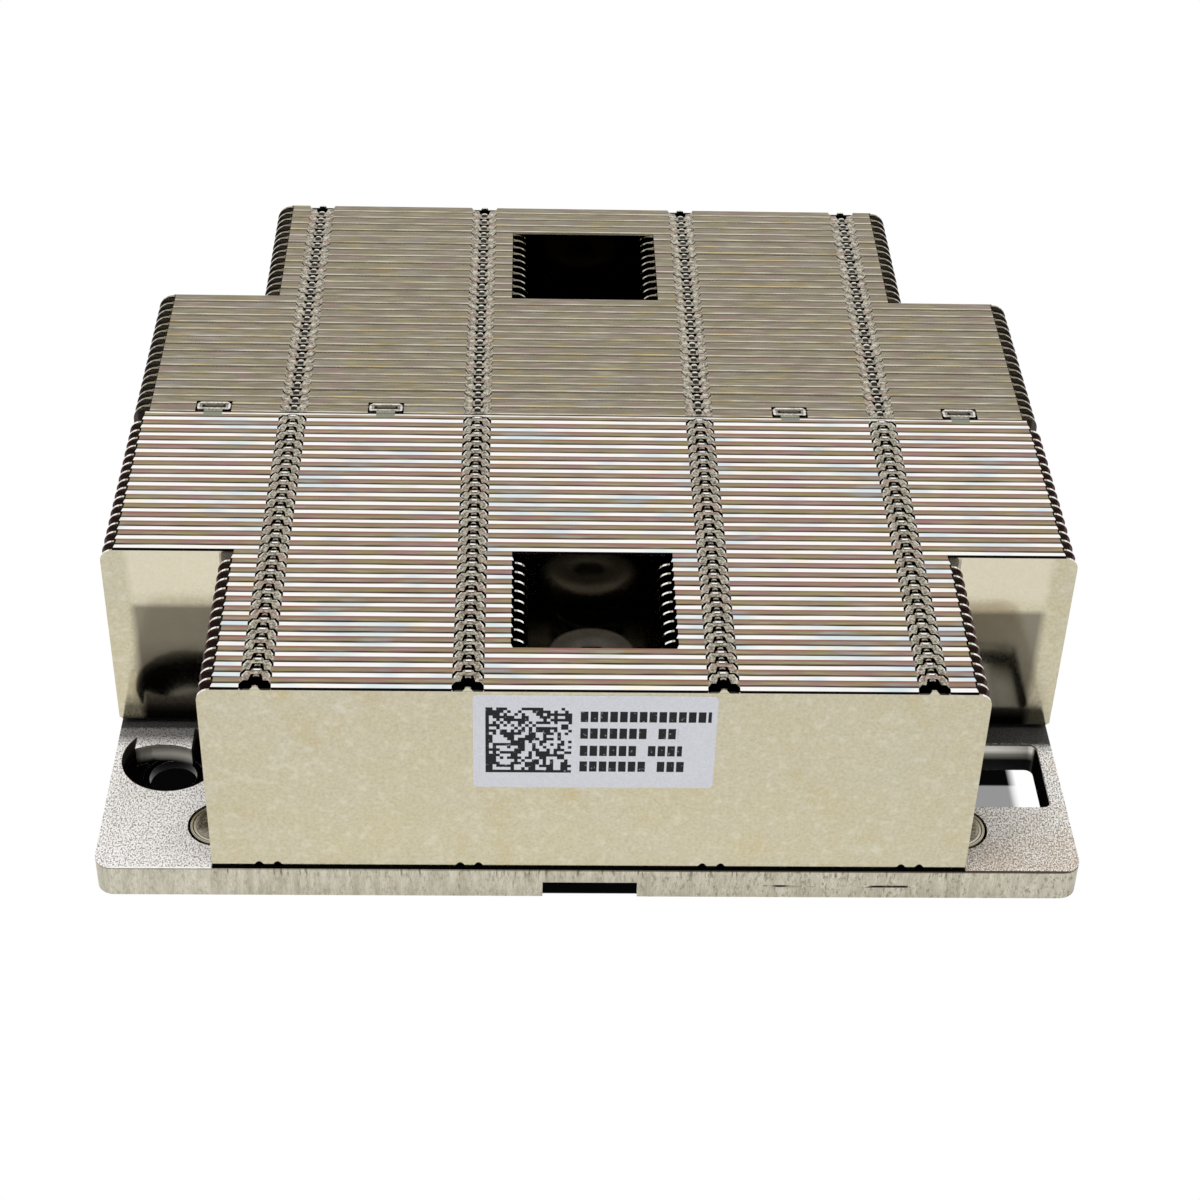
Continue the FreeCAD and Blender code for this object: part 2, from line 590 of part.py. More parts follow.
def make_clips():
    """Slide-on clips that keep the screws in the spreader: square, open on one side."""
    master = new_body("retaining_clip_make")
    bottom = "(%s - Sizes.clip_clearance - Sizes.clip_thickness)" % CLIP_SEAT
    outline = plane_sketch(master, "clip_outline", "XY_Plane", bottom)
    add_rectangle(outline, "-" + CLIP_HALF_WIDTH, CLIP_HALF_WIDTH,
                  "-" + CLIP_HALF_WIDTH, CLIP_HALF_WIDTH)
    pad(master, "clip_plate", outline, "Sizes.clip_thickness")
    bore = plane_sketch(master, "clip_bore_outline", "XY_Plane", bottom)
    add_circle(bore, "0", "0", GROOVE_RADIUS + " + Sizes.clip_clearance")
    pocket(master, "clip_bore", bore, through=True)
    mouth = plane_sketch(master, "clip_mouth_outline", "XY_Plane", bottom)
    mouth_half = "(%s - Sizes.clip_mouth_bite)" % GROOVE_RADIUS
    add_rectangle(mouth, "0", CLIP_HALF_WIDTH + " * 2", "-" + mouth_half, mouth_half)
    pocket(master, "clip_mouth", mouth, through=True)
    for end, sign in (("front", "-"), ("rear", "")):
        clip = clone("retaining_clip_" + end, master)
        place(clip, "0", sign + SCREW_ALONG)
        node(clip)


SPRING_STEPS = 8
WIRE_SIDES = 4


def spring_shape(bottom, length):
    """A coil of straight steps: rings of points along the wire, joined by flat faces."""
    wire = size("spring_wire_radius")
    coil = size("screw_shank_radius") + size("spring_shank_gap") + wire
    stations = int(round(size("spring_turns") * SPRING_STEPS)) + 1
    rings = []
    for station in range(stations):
        turn = 2 * math.pi * station / SPRING_STEPS
        height = bottom + wire + (length - 2 * wire) * station / (stations - 1)
        ring = []
        for side in range(WIRE_SIDES):
            lean = 2 * math.pi * side / WIRE_SIDES
            reach = coil + wire * math.cos(lean)
            ring.append(V(reach * math.cos(turn), reach * math.sin(turn),
                          height + wire * math.sin(lean)))
        rings.append(ring)
    faces = [flat_face(rings[0]), flat_face(rings[-1])]
    for first, second in zip(rings, rings[1:]):
        for side in range(WIRE_SIDES):
            after = (side + 1) % WIRE_SIDES
            faces.append(flat_face((first[side], first[after], second[after])))
            faces.append(flat_face((first[side], second[after], second[side])))
    solid = Part.Solid(Part.Shell(faces))
    if solid.Volume < 0:
        solid.reverse()
    return solid


def flat_face(corners):
    return Part.Face(Part.makePolygon(list(corners) + [corners[0]]))


def make_springs():
    """Compression springs between the spreader and the screw heads."""
    bottom = size("pedestal_drop") + size("frame_thickness") + size("spreader_rise")
    length = size("fin_height") - size("screw_top_drop") - size("screw_head_height")
    shape = spring_shape(bottom, length)
    for end, sign in (("front", "-"), ("rear", "")):
        spring = document.addObject("Part::Feature", "screw_spring_" + end)
        spring.Label = "screw_spring_" + end
        spring.Shape = shape
        place(spring, "0", sign + SCREW_ALONG)
        node(spring)


# ---------------------------------------------------------------- label


def make_label():
    """A plain paper label on the front fin."""
    body = new_body("part_label")
    outline = plane_sketch(body, "label_outline", "XZ_Plane")
    top = "(%s - Sizes.label_top_gap)" % FIN_TOP
    add_rectangle(outline, "-Sizes.label_width / 2", "Sizes.label_width / 2",
                  "%s - Sizes.label_height" % top, top)
    pad(body, "label_paper", outline, "Sizes.label_thickness")
    place(body, "0", "-" + STACK_HALF_DEPTH)
    return node(body)


# ---------------------------------------------------------------- the whole part

make_frame()
make_spreader()
make_half(rear=False)
make_half(rear=True)
make_screws()
make_clips()
make_springs()
make_label()
document.recompute()

for item in document.Objects:
    if "Invalid" in item.State or "Error" in item.State:
        raise RuntimeError("%s failed: %s" % (item.Name, item.State))
for piece in NODES:
    if piece.Shape.isNull() or not piece.Shape.isValid():
        raise RuntimeError("%s has no valid shape" % piece.Label)

os.makedirs("parts", exist_ok=True)
for piece in NODES:
    piece.Shape.exportStep(os.path.join("parts", piece.Label + ".step"))
print("%d nodes written" % len(NODES))
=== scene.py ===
import math
from functools import partialmethod

import bmesh
import bpy
from mathutils import Matrix, Vector
from mathutils.geometry import delaunay_2d_cdt


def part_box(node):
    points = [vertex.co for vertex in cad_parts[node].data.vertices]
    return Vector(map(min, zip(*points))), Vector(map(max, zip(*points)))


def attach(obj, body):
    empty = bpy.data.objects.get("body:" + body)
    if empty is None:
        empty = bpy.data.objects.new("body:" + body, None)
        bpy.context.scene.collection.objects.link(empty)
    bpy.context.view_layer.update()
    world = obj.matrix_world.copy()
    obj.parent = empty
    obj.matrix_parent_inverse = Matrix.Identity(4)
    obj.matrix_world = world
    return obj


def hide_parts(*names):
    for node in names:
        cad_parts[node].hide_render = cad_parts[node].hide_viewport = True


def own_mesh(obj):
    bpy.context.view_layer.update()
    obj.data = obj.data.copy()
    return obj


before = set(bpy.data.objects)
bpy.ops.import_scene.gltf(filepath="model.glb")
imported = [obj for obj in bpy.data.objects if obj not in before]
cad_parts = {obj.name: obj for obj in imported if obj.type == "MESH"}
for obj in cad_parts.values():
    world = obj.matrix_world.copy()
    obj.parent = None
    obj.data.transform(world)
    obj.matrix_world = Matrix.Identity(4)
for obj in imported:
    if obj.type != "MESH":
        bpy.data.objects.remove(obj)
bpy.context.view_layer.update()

bl_info = {
    "name": "Passive CPU heatsink",
    "version": (1, 0, 0),
    "blender": (4, 5, 0),
    "location": "3D View > Sidebar > Heatsink",
    "description": "Dresses the packed heatsink: folded fins, cast frame, captive screws and label",
    "category": "Object",
}

MM = 0.001
# How far a cut passes the faces that it opens.
PAST = 1 * MM
BODY = "heatsink"

# Places that the frame gives, in metres.
FRAME_LOW, FRAME_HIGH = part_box("mounting_frame")
SPREADER_LOW, SPREADER_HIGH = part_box("heat_spreader")
NARROW_LOW, NARROW_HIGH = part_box("front_fin_01")
WIDE_LOW, WIDE_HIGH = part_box("front_fin_15")
_, WINDOW_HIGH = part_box("front_left_window_fins")
SCREW_LOW, SCREW_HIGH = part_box("captive_screw_front")
SPRING_LOW, SPRING_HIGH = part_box("screw_spring_front")
CLIP_LOW, CLIP_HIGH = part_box("retaining_clip_front")
LABEL_LOW, LABEL_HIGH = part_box("part_label")
FIN_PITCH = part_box("front_fin_16")[0].y - WIDE_LOW.y
STACK_HALF = -NARROW_LOW.y
FIN_TOP = NARROW_HIGH.z
SCREW_OUT = -(SCREW_LOW.y + SCREW_HIGH.y) / 2
SCREW_ALONG = {"front": -SCREW_OUT, "rear": SCREW_OUT}

# Fins in one half of the stack: full narrow ones, ones cut by a window, and wide ones.
NARROW_FINS = 4
WINDOW_FINS = 10
WIDE_FINS = 16
WIDE_START = NARROW_FINS + WINDOW_FINS
HALF_FINS = WIDE_START + WIDE_FINS


def srgb(red, green, blue):
    """A colour written in 0 to 255, as the linear values that a shader takes."""
    def linear(part):
        part /= 255
        return part / 12.92 if part <= 0.04045 else ((part + 0.055) / 1.055) ** 2.4
    return linear(red), linear(green), linear(blue)


# ---------------------------------------------------------------- settings


def length(name, description, millimetres):
    """A size of the object, given in millimetres."""
    return bpy.props.FloatProperty(name=name, description=description,
                                   default=millimetres * MM, min=0.0, precision=5,
                                   subtype="DISTANCE", unit="LENGTH")


def colour(name, description, default):
    """A colour of one of the finishes."""
    return bpy.props.FloatVectorProperty(name=name, description=description, size=3,
                                         default=default, min=0.0, max=1.0, subtype="COLOR")


def angle(name, description, degrees):
    """An angle, given in degrees."""
    return bpy.props.FloatProperty(name=name, description=description,
                                   default=math.radians(degrees), subtype="ANGLE")


class FinSizes(bpy.types.PropertyGroup):
    """The folded fins."""

    sheet: length("Sheet", "Thickness of the folded sheet", 0.3)
    bend: length("Top bend", "Outer radius of the bend at the top of a fin", 0.5)
    bend_rear: length("Rear bend", "The same radius in the rear half", 0.24)
    corner_rear: length("Rear corner", "Radius of the rear half's upper corners", 1.9)
    gap_rear: length("Rear lock gap", "Gap round the lock tabs of the rear half", 0.04)
    fold_inset: length("Fold inset", "How far a fold stops short of its corner", 0.35)
    foot_bend: length("Foot bend", "Outer radius of the bend at the foot of a fin", 0.38)
    fold_gap: length("Fold gap", "Gap between a fold and the next fin", 0.08)
    corner: length("Corner", "Radius of the upper corners, where the fold ends", 1.4)
    foot_inset: length("Foot inset", "Foot's ends inside the sides of the fin", 0.2)
    lock_inset: length("Lock inset", "Lock columns from the window and the sides", 6.1)
    notch_base: length("Notch base", "Lock notch, half its width on the sheet", 1.66)
    notch_wide: length("Notch shoulder", "Half its width at its shoulder", 1.27)
    notch_neck: length("Notch neck", "Half its width behind the shoulder", 0.78)
    notch_end: length("Notch end", "Half its width at its end", 0.58)
    notch_shoulder: length("Shoulder place", "Shoulder behind the sheet", 1.07)
    notch_drop: length("Notch drop", "How far the notch reaches down the sheet", 0.42)
    lock_gap: length("Lock gap", "Gap round a lock tab in its notch", 0.18)
    nose: length("Nose", "How far a tab's nose passes the shoulder", 0.42)
    tongue: length("Tongue", "Half the width of the tongue in each lock", 0.5)
    foot_notch: length("Foot notch", "Height of the notches at the foot", 0.3)
    skirt: length("Skirt", "Outermost sheets below the top of the spreader", 0.4)
    hook_inset: length("Hook inset", "Outer hooks from the sides of the wide fins", 9.7)
    hook_half: length("Hook", "Half the width of the hooks between the halves", 1.95)
    hook_neck: length("Hook neck", "Half the width of a hook's neck", 1.1)
    hook_start: length("Hook start", "Length of a hook's neck", 0.6)
    hook_reach: length("Hook reach", "Hooks beyond the fold", 2.25)
    slit_half: length("Slit", "Half the width of the slit in a hook", 1.1)
    slit_place: length("Slit place", "Middle of the slit beyond the fold", 1.35)
    slit_depth: length("Slit depth", "Depth of the slit in a hook", 0.6)
    jitter: length("Unevenness", "How far a fin may stand out of line", 0.035)


class FrameSizes(bpy.types.PropertyGroup):
    """The cast frame and the spreader in it."""

    corner: length("Corner", "Radius of the frame's upright corners", 2.0)
    edge: length("Edge", "Rounding of the frame's edges", 0.22)
    seat_side: length("Seat side", "Frame beside its middle opening", 17.0)
    seat_end: length("Seat end", "Frame in front of and behind its middle opening", 3.5)
    seat_gap: length("Seat gap", "Gap round the spreader in its seat", 0.2)
    post_outset: length("Post outset", "Staked post outside the middle opening", 4.0)
    post_inset: length("Post inset", "Staked post from the end of the middle opening", 3.5)
    post: length("Post", "Radius of the staked posts", 3.2)
    post_gap: length("Post gap", "Ring left round the posts", 0.3)
    ear: length("Ear", "Height of the spreader's ears", 2.0)
    ear_half: length("Ear half", "Half the length of an ear", 2.9)
    ear_reach: length("Ear reach", "Ear beyond its post", 3.6)
    pocket: length("Pocket", "Radius of the round pockets", 5.6)
    pocket_wall: length("Pocket wall", "Wall beside the pocket", 0.8)
    pocket_gap: length("Pocket gap", "Pocket in front of the wide fins", 0.42)
    pocket_floor: length("Pocket floor", "Floor of the pocket", 1.4)
    pocket_hole: length("Pocket hole", "Radius of the hole in the pocket", 2.7)
    pocket_hole_rim: length("Hole rim", "Width of the step round that hole", 0.7)
    pocket_step: length("Hole step", "Depth of the step round that hole", 0.3)
    tongue_half: length("Tongue", "Half the width of the tongue over the pocket", 3.2)
    tongue_start: length("Tongue start", "Tongue behind the pocket's centre", 1.5)
    tongue_hollow: length("Tongue hollow", "Hollow of the tongue's front edge", 0.8)
    tongue_shift: length("Tongue shift", "Tongue outside the pocket's centre", 1.1)
    guide_width: length("Guide width", "Guide opening, across", 10.4)
    guide_depth: length("Guide depth", "Guide opening, along", 10.7)
    guide_wall: length("Guide wall", "Wall beside the guide opening", 1.7)
    guide_gap: length("Guide gap", "Guide opening in front of the wide fins", 2.77)
    guide_corner: length("Guide corner", "Corner radius of the guide opening", 0.9)
    notch_half: length("Notch", "Half the width of the notch in the frame's edge", 5.2)
    notch_height: length("Notch height", "Height of that notch", 2.1)
    notch_depth: length("Notch depth", "Depth of that notch", 2.4)
    pedestal_width: length("Pedestal width", "Contact pedestal, across", 56.0)
    pedestal_depth: length("Pedestal depth", "Contact pedestal, along", 50.0)


class ScrewSizes(bpy.types.PropertyGroup):
    """The captive screws, their springs and their clips."""

    head_height: length("Head height", "Height of the head", 3.0)
    head_round: length("Head rounding", "Rounding of the head's upper rim", 0.9)
    shank: length("Shank", "Radius of the shank", 2.5)
    thread: length("Thread", "Radius over the thread", 2.0)
    thread_pitch: length("Thread pitch", "Pitch of the thread", 0.7)
    groove: length("Groove", "Radius of the groove for the clip", 1.7)
    drive: length("Drive", "Hexagon recess, centre to corner", 2.0)
    drive_depth: length("Drive depth", "Depth of the hexagon recess", 1.8)
    hole_gap: length("Hole gap", "Gap round the shank in the spreader", 0.4)
    clip_seat: length("Clip seat", "Spreader left above the clip", 1.8)
    well_gap: length("Well gap", "Gap round the clip in its well", 0.3)
    clip_corner: length("Clip corner", "Rounding of the clip's corners", 0.9)
    wire: length("Wire", "Radius of the spring wire", 0.5)
    turns: bpy.props.FloatProperty(name="Turns", description="Turns of the spring",
                                   default=4.5, min=1.0, max=20.0)
    travel: length("Travel", "How far a screw is driven down", 4.0)


class Finishes(bpy.types.PropertyGroup):
    """Colours of the plated, turned and printed surfaces."""

    sheet: colour("Sheet", "Plated fin sheet", srgb(204, 198, 175))
    sheet_warm: colour("Sheet, warm", "Warm stains of the plating", srgb(204, 190, 148))
    # Painted highlight: the near-white that the bend lines are painted with.
    bend: colour("Bend", "Bright bend lines", srgb(252, 250, 247))
    fold: colour("Fold", "Folds of the front half", srgb(150, 130, 108))
    fold_rear: colour("Fold, rear", "Folds of the rear half", srgb(131, 122, 105))
    olive: colour("Tint, olive", "Olive tint of the folds", srgb(150, 140, 96))
    rose: colour("Tint, rose", "Rose tint of the folds", srgb(158, 122, 122))
    blue: colour("Tint, blue", "Blue-grey tint of the folds", srgb(160, 168, 180))
    cast: colour("Cast", "Nickel-plated casting", srgb(246, 243, 239))
    cast_edge: colour("Cast edge", "Sawn edges of the casting", srgb(214, 210, 194))
    copper: colour("Spreader", "Nickel-plated spreader", srgb(196, 190, 172))
    steel: colour("Steel", "Turned screw steel", srgb(66, 63, 58))
    wire: colour("Spring steel", "Drawn spring wire", srgb(120, 118, 114))
    label: colour("Label", "Label paper", srgb(231, 233, 239))
    ink: colour("Ink", "Print on the label", srgb(10, 10, 16))
    floor: colour("Floor", "Plain floor", (0.95, 0.95, 0.95))


class CameraPlace(bpy.types.PropertyGroup):
    """Where the camera stands and how it is turned."""

    place: bpy.props.FloatVectorProperty(
        name="Place", description="Camera position", size=3, subtype="TRANSLATION",
        default=(-7.606 * MM, -241.736 * MM, 192.325 * MM))
    down: angle("Down", "Angle below the horizon", 38.02)
    turn: angle("Turn", "Angle to the right", 2.30)
    roll: angle("Roll", "Roll about the line of sight", 1.897)
    view: angle("Field of view", "Across the picture", 27.68)


SETTINGS = {"heatsink_fins": FinSizes, "heatsink_frame": FrameSizes,
            "heatsink_screws": ScrewSizes, "heatsink_finishes": Finishes,
            "heatsink_camera": CameraPlace}


# ---------------------------------------------------------------- mesh helpers


def new_object(name, data):
    """An object in the scene that shows the data."""
    piece = bpy.data.objects.new(name, data)
    bpy.context.scene.collection.objects.link(piece)
    return piece


def mesh_object(name, work):
    """A mesh object from a bmesh, which is freed."""
    mesh = bpy.data.meshes.new(name)
    work.to_mesh(mesh)
    work.free()
    return new_object(name, mesh)


def arc(centre_x, centre_y, radius_x, radius_y, start, end, steps):
    """Points on an arc, angles in degrees, ends included."""
    points = []
    for step in range(steps + 1):
        angle = math.radians(start + (end - start) * step / steps)
        points.append((centre_x + radius_x * math.cos(angle),
                       centre_y + radius_y * math.sin(angle)))
    return points


def circle(across, along, radius, steps=48):
    """A closed circle as an outline."""
    return arc(across, along, radius, radius, 0, 360 - 360 / steps, steps - 1)


def rectangle(left, right, near, far, corner=0.0, steps=6):
    """A rectangle as an outline, its corners rounded where a radius is given."""
    if not corner:
        return [(left, near), (right, near), (right, far), (left, far)]
    west, east, south, north = left + corner, right - corner, near + corner, far - corner
    outline = []
    for x, y, start in ((east, south, -90), (east, north, 0), (west, north, 90),
                        (west, south, 180)):
        outline += arc(x, y, corner, corner, start, start + 90, steps)
    return outline


def mirrored(middle, half):
    """Half an outline, given from its middle line, and then its mirror image."""
    return [(middle + x, y) for x, y in half] + [(middle - x, y) for x, y in reversed(half)]


def prism(name, outline, bottom, top):
    """A closed block over an outline that runs anticlockwise."""
    work = bmesh.new()
    low = [work.verts.new((x, y, bottom)) for x, y in outline]
    high = [work.verts.new((x, y, top)) for x, y in outline]
    count = len(outline)
    work.faces.new(list(reversed(low)))
    work.faces.new(high)
    for turn in range(count):
        after = (turn + 1) % count
        work.faces.new((low[turn], low[after], high[after], high[turn]))
    bmesh.ops.recalc_face_normals(work, faces=work.faces)
    return mesh_object(name, work)


def lathe(name, profile, steps=64, centre=(0.0, 0.0)):
    """A closed turned piece from a profile of radius and height, from foot to top."""
    work = bmesh.new()
    rings = []
    for radius, height in profile:
        if radius < 1e-9:
            rings.append([work.verts.new((centre[0], centre[1], height))])
            continue
        rings.append([work.verts.new((centre[0] + radius * math.cos(2 * math.pi * turn / steps),
                                      centre[1] + radius * math.sin(2 * math.pi * turn / steps),
                                      height)) for turn in range(steps)])
    for low, high in zip(rings, rings[1:]):
        for turn in range(steps):
            after = (turn + 1) % steps
            corners = [low[turn % len(low)], low[after % len(low)],
                       high[after % len(high)], high[turn % len(high)]]
            face = list(dict.fromkeys(corners))
            if len(face) > 2:
                work.faces.new(face)
    bmesh.ops.recalc_face_normals(work, faces=work.faces)
    return mesh_object(name, work)


def evaluated_mesh(piece):
    """A new mesh of a piece as its modifiers leave it."""
    graph = bpy.context.evaluated_depsgraph_get()
    return bpy.data.meshes.new_from_object(piece.evaluated_get(graph))


def settle(piece):
    """Applies a piece's modifiers, and leaves a plain mesh."""
    mesh = evaluated_mesh(piece)
    piece.modifiers.clear()
    old, piece.data = piece.data, mesh
    bpy.data.meshes.remove(old)
    mesh.name = piece.name
    return piece


def combine(piece, others, operation):
    """Boolean of a piece with others, one after another; the others are removed."""
    for other in others:
        modifier = piece.modifiers.new("boolean", "BOOLEAN")
        modifier.operation, modifier.object, modifier.solver = operation, other, "EXACT"
        settle(piece)
        bpy.data.objects.remove(other)
    return piece


def soften(piece, width, segments=2):
    """Rounds the sharp edges and shades the rest smooth."""
    modifier = piece.modifiers.new("bevel", "BEVEL")
    modifier.width, modifier.segments = width, segments
    modifier.limit_method, modifier.angle_limit = "ANGLE", math.radians(40)
    modifier.miter_outer = "MITER_ARC"
    return smooth(settle(piece))


def smooth(piece, angle=32):
    """Shades a piece smooth, except at edges over an angle."""
    mesh = piece.data
    mesh.polygons.foreach_set("use_smooth", [True] * len(mesh.polygons))
    mesh.set_sharp_from_angle(angle=math.radians(angle))
    return piece


def dress(piece, finish, body, slot, *nodes):
    """Gives a finished piece its material, its body and the nodes it stands for; its slot is not
    used.
    """
    piece.data.materials.clear()
    piece.data.materials.append(finish_of(finish))
    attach(piece, body)
    if nodes:
        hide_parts(*nodes)
    return piece


# ---------------------------------------------------------------- shader helpers


class Value:
    """A shader value, which is added, multiplied and compared like a number."""

    def __init__(self, tree, socket):
        self.tree, self.socket = tree, socket

    def maths(self, operation, *others):
        """The result of a Math node that starts from this value."""
        return self.tree.maths(operation, self, *others)

    def swapped(self, operation, other):
        """The same with a plain number before this value."""
        return self.tree.maths(operation, other, self)

    __abs__ = partialmethod(maths, "ABSOLUTE")
    __floor__ = partialmethod(maths, "FLOOR")
    __add__ = partialmethod(maths, "ADD")
    __sub__ = partialmethod(maths, "SUBTRACT")
    __rsub__ = partialmethod(swapped, "SUBTRACT")
    __mul__ = partialmethod(maths, "MULTIPLY")
    __truediv__ = partialmethod(maths, "DIVIDE")
    __rtruediv__ = partialmethod(swapped, "DIVIDE")
    __lt__ = partialmethod(maths, "LESS_THAN")
    __gt__ = partialmethod(maths, "GREATER_THAN")
    # Of two masks, the places where either of them is.
    __or__ = partialmethod(maths, "MAXIMUM")
    near = partialmethod(maths, "COMPARE")

    def span(self, low, high, to_low=0.0, to_high=1.0, kind="LINEAR"):
        """Follows the value from low to high, and stays level beyond them."""
        made = self.tree.node("ShaderNodeMapRange", {
            "Value": self, "From Min": low, "From Max": high,
            "To Min": to_low, "To Max": to_high}, interpolation_type=kind)
        return Value(self.tree, made.outputs["Result"])

    def short_of(self, limit, start, end, *reach):
        """A span between two distances, in millimetres, short of a limit."""
        return self.span(limit - start * MM, limit - end * MM, *reach)

    def between(self, off, on):
        """Off where a mask is 0, on where it is 1."""
        return self.span(0.0, 1.0, off, on)

    def to_nearest(self, first, second):
        """The distance to the nearer one of two places."""
        return abs(self - first).maths("MINIMUM", abs(self - second))


class Tree:
    """Makes and links the nodes of a material, a node group or a world."""

    def __init__(self, nodes, place=None):
        self.nodes, self.place = nodes, place

    def node(self, kind, inputs=None, **settings):
        """A new node with its settings and inputs."""
        made = self.nodes.nodes.new(kind)
        for key, value in settings.items():
            setattr(made, key, value)
        for key, value in (inputs or {}).items():
            self.feed(made.inputs[key], value)
        return made

    def feed(self, socket, value):
        """Links a value to a socket, or sets the socket to it."""
        value = getattr(value, "socket", value)
        if isinstance(value, bpy.types.NodeSocket):
            self.nodes.links.new(value, socket)
        elif socket.type == "RGBA":
            socket.default_value = (*value, 1.0)
        else:
            socket.default_value = value

    def maths(self, operation, *values):
        made = self.node("ShaderNodeMath", dict(enumerate(values)), operation=operation)
        return Value(self, made.outputs[0])

    def values(self, kind, inputs=None, **settings):
        """The outputs of a new node, by name."""
        made = self.node(kind, inputs, **settings)
        return {socket.name: Value(self, socket) for socket in made.outputs}

    def split(self, vector):
        """The three parts of a vector."""
        return self.values("ShaderNodeSeparateXYZ", {"Vector": vector}).values()

    def facing(self):
        """The three parts of the way that the surface faces."""
        return self.split(self.values("ShaderNodeNewGeometry")["Normal"])

    def mix(self, share, first, second):
        """A colour between two, by the share of the second."""
        made = self.node("ShaderNodeMix", {"Factor": share, "A": first, "B": second},
                         data_type="RGBA")
        return made.outputs["Result"]

    def layers(self, base, *coats):
        """A colour under coats, each given as (share, colour)."""
        for share, coat in coats:
            base = self.mix(share, base, coat)
        return base

    def noise(self, scale, detail=2.0, roughness=0.5, stretch=None, shift=(0.0, 0.0, 0.0),
              distortion=0.0):
        vector = self.place
        if stretch:
            vector = self.values("ShaderNodeMapping", {
                "Vector": vector, "Scale": stretch, "Location": shift})["Vector"]
        return self.values("ShaderNodeTexNoise", {
            "Vector": vector, "Scale": scale, "Detail": detail, "Roughness": roughness,
            "Distortion": distortion})["Fac"]

    def use(self, name, **inputs):
        """The outputs of a shared node group at this tree's place."""
        if name not in GROUPS:
            GROUPS[name] = {"grain": grain_group, "mottle": mottle_group,
                            "brush": brush_group}[name]()
        return self.values("ShaderNodeGroup", {"Vector": self.place, **inputs},
                           node_tree=GROUPS[name])

    def bump(self, height, strength, distance):
        return self.values("ShaderNodeBump", {"Height": height, "Strength": strength,
                                              "Distance": distance})["Normal"]


class Surface(Tree):
    """A new material, with its Principled shader and its object coordinates."""

    def __init__(self, name):
        self.material = bpy.data.materials.new(name)
        self.material.use_nodes = True
        super().__init__(self.material.node_tree)
        self.principled = self.nodes.nodes["Principled BSDF"]
        self.place = self.values("ShaderNodeTexCoord")["Object"]

    def finish(self, inputs):
        """Feeds the Principled shader, and gives the material."""
        for key, value in inputs.items():
            self.feed(self.principled.inputs[key], value)
        return self.material


GROUPS = {}


def group(name, outputs, **inputs):
    """A shader node group that takes a vector and the named inputs with their defaults."""
    nodes = bpy.data.node_groups.new(name, "ShaderNodeTree")
    new_socket = nodes.interface.new_socket
    new_socket("Vector", in_out="INPUT", socket_type="NodeSocketVector")
    for title, default in inputs.items():
        kind = "NodeSocketVector" if isinstance(default, tuple) else "NodeSocketFloat"
        new_socket(title, in_out="INPUT", socket_type=kind).default_value = default
    for title in outputs:
        new_socket(title, in_out="OUTPUT", socket_type="NodeSocketFloat")
    tree = Tree(nodes)
    given = tree.values("NodeGroupInput")
    tree.place = given["Vector"]
    return tree, given, tree.node("NodeGroupOutput").inputs


def grain_group():
    """Fine cast grain: a height for a bump, and a mask of dark specks."""
    tree, given, out = group("cast_grain", ("Height", "Dark"), Size=0.25 * MM)
    per_metre = 1.0 / given["Size"]
    fine = tree.noise(per_metre, 3.0, 0.65)
    tree.feed(out["Height"], fine + tree.noise(per_metre * 0.22) * 0.6)
    tree.feed(out["Dark"], fine.span(0.44, 0.34))
    return tree.nodes


def mottle_group():
    """Slow cloudy change of a plating, with fine speckle, as two masks."""
    tree, given, out = group("plating_mottle", ("Clouds", "Specks"), Cloud=6 * MM,
                             Speckle=0.35 * MM)
    cloud = tree.noise(1.0 / given["Cloud"], 4.0, 0.6, distortion=0.3)
    speck = tree.noise(1.0 / given["Speckle"], 2.0, 0.7)
    tree.feed(out["Clouds"], cloud.span(0.35, 0.68, kind="SMOOTHSTEP"))
    tree.feed(out["Specks"], speck.span(0.40, 0.66))
    return tree.nodes


def brush_group():
    """Fine parallel scratches along one axis, as a height and a streak mask."""
    tree, given, out = group("brushing", ("Height", "Streaks"), Stretch=(1.0, 1.0, 1.0),
                             Size=0.12 * MM)
    tree.place = tree.values("ShaderNodeVectorMath", {0: given["Vector"], 1: given["Stretch"]},
                             operation="MULTIPLY")["Vector"]
    fine = tree.noise(1.0 / given["Size"], 3.0, 0.6)
    broad = tree.noise(0.18 / given["Size"])
    tree.feed(out["Height"], fine)
    tree.feed(out["Streaks"], (fine * 0.5 + broad * 0.5).span(0.38, 0.62))
    return tree.nodes


# ---------------------------------------------------------------- materials


# Painted shade: the black painted round the hooks, in their slits and where the halves meet.
GAP_SHADE = srgb(10, 8, 8)


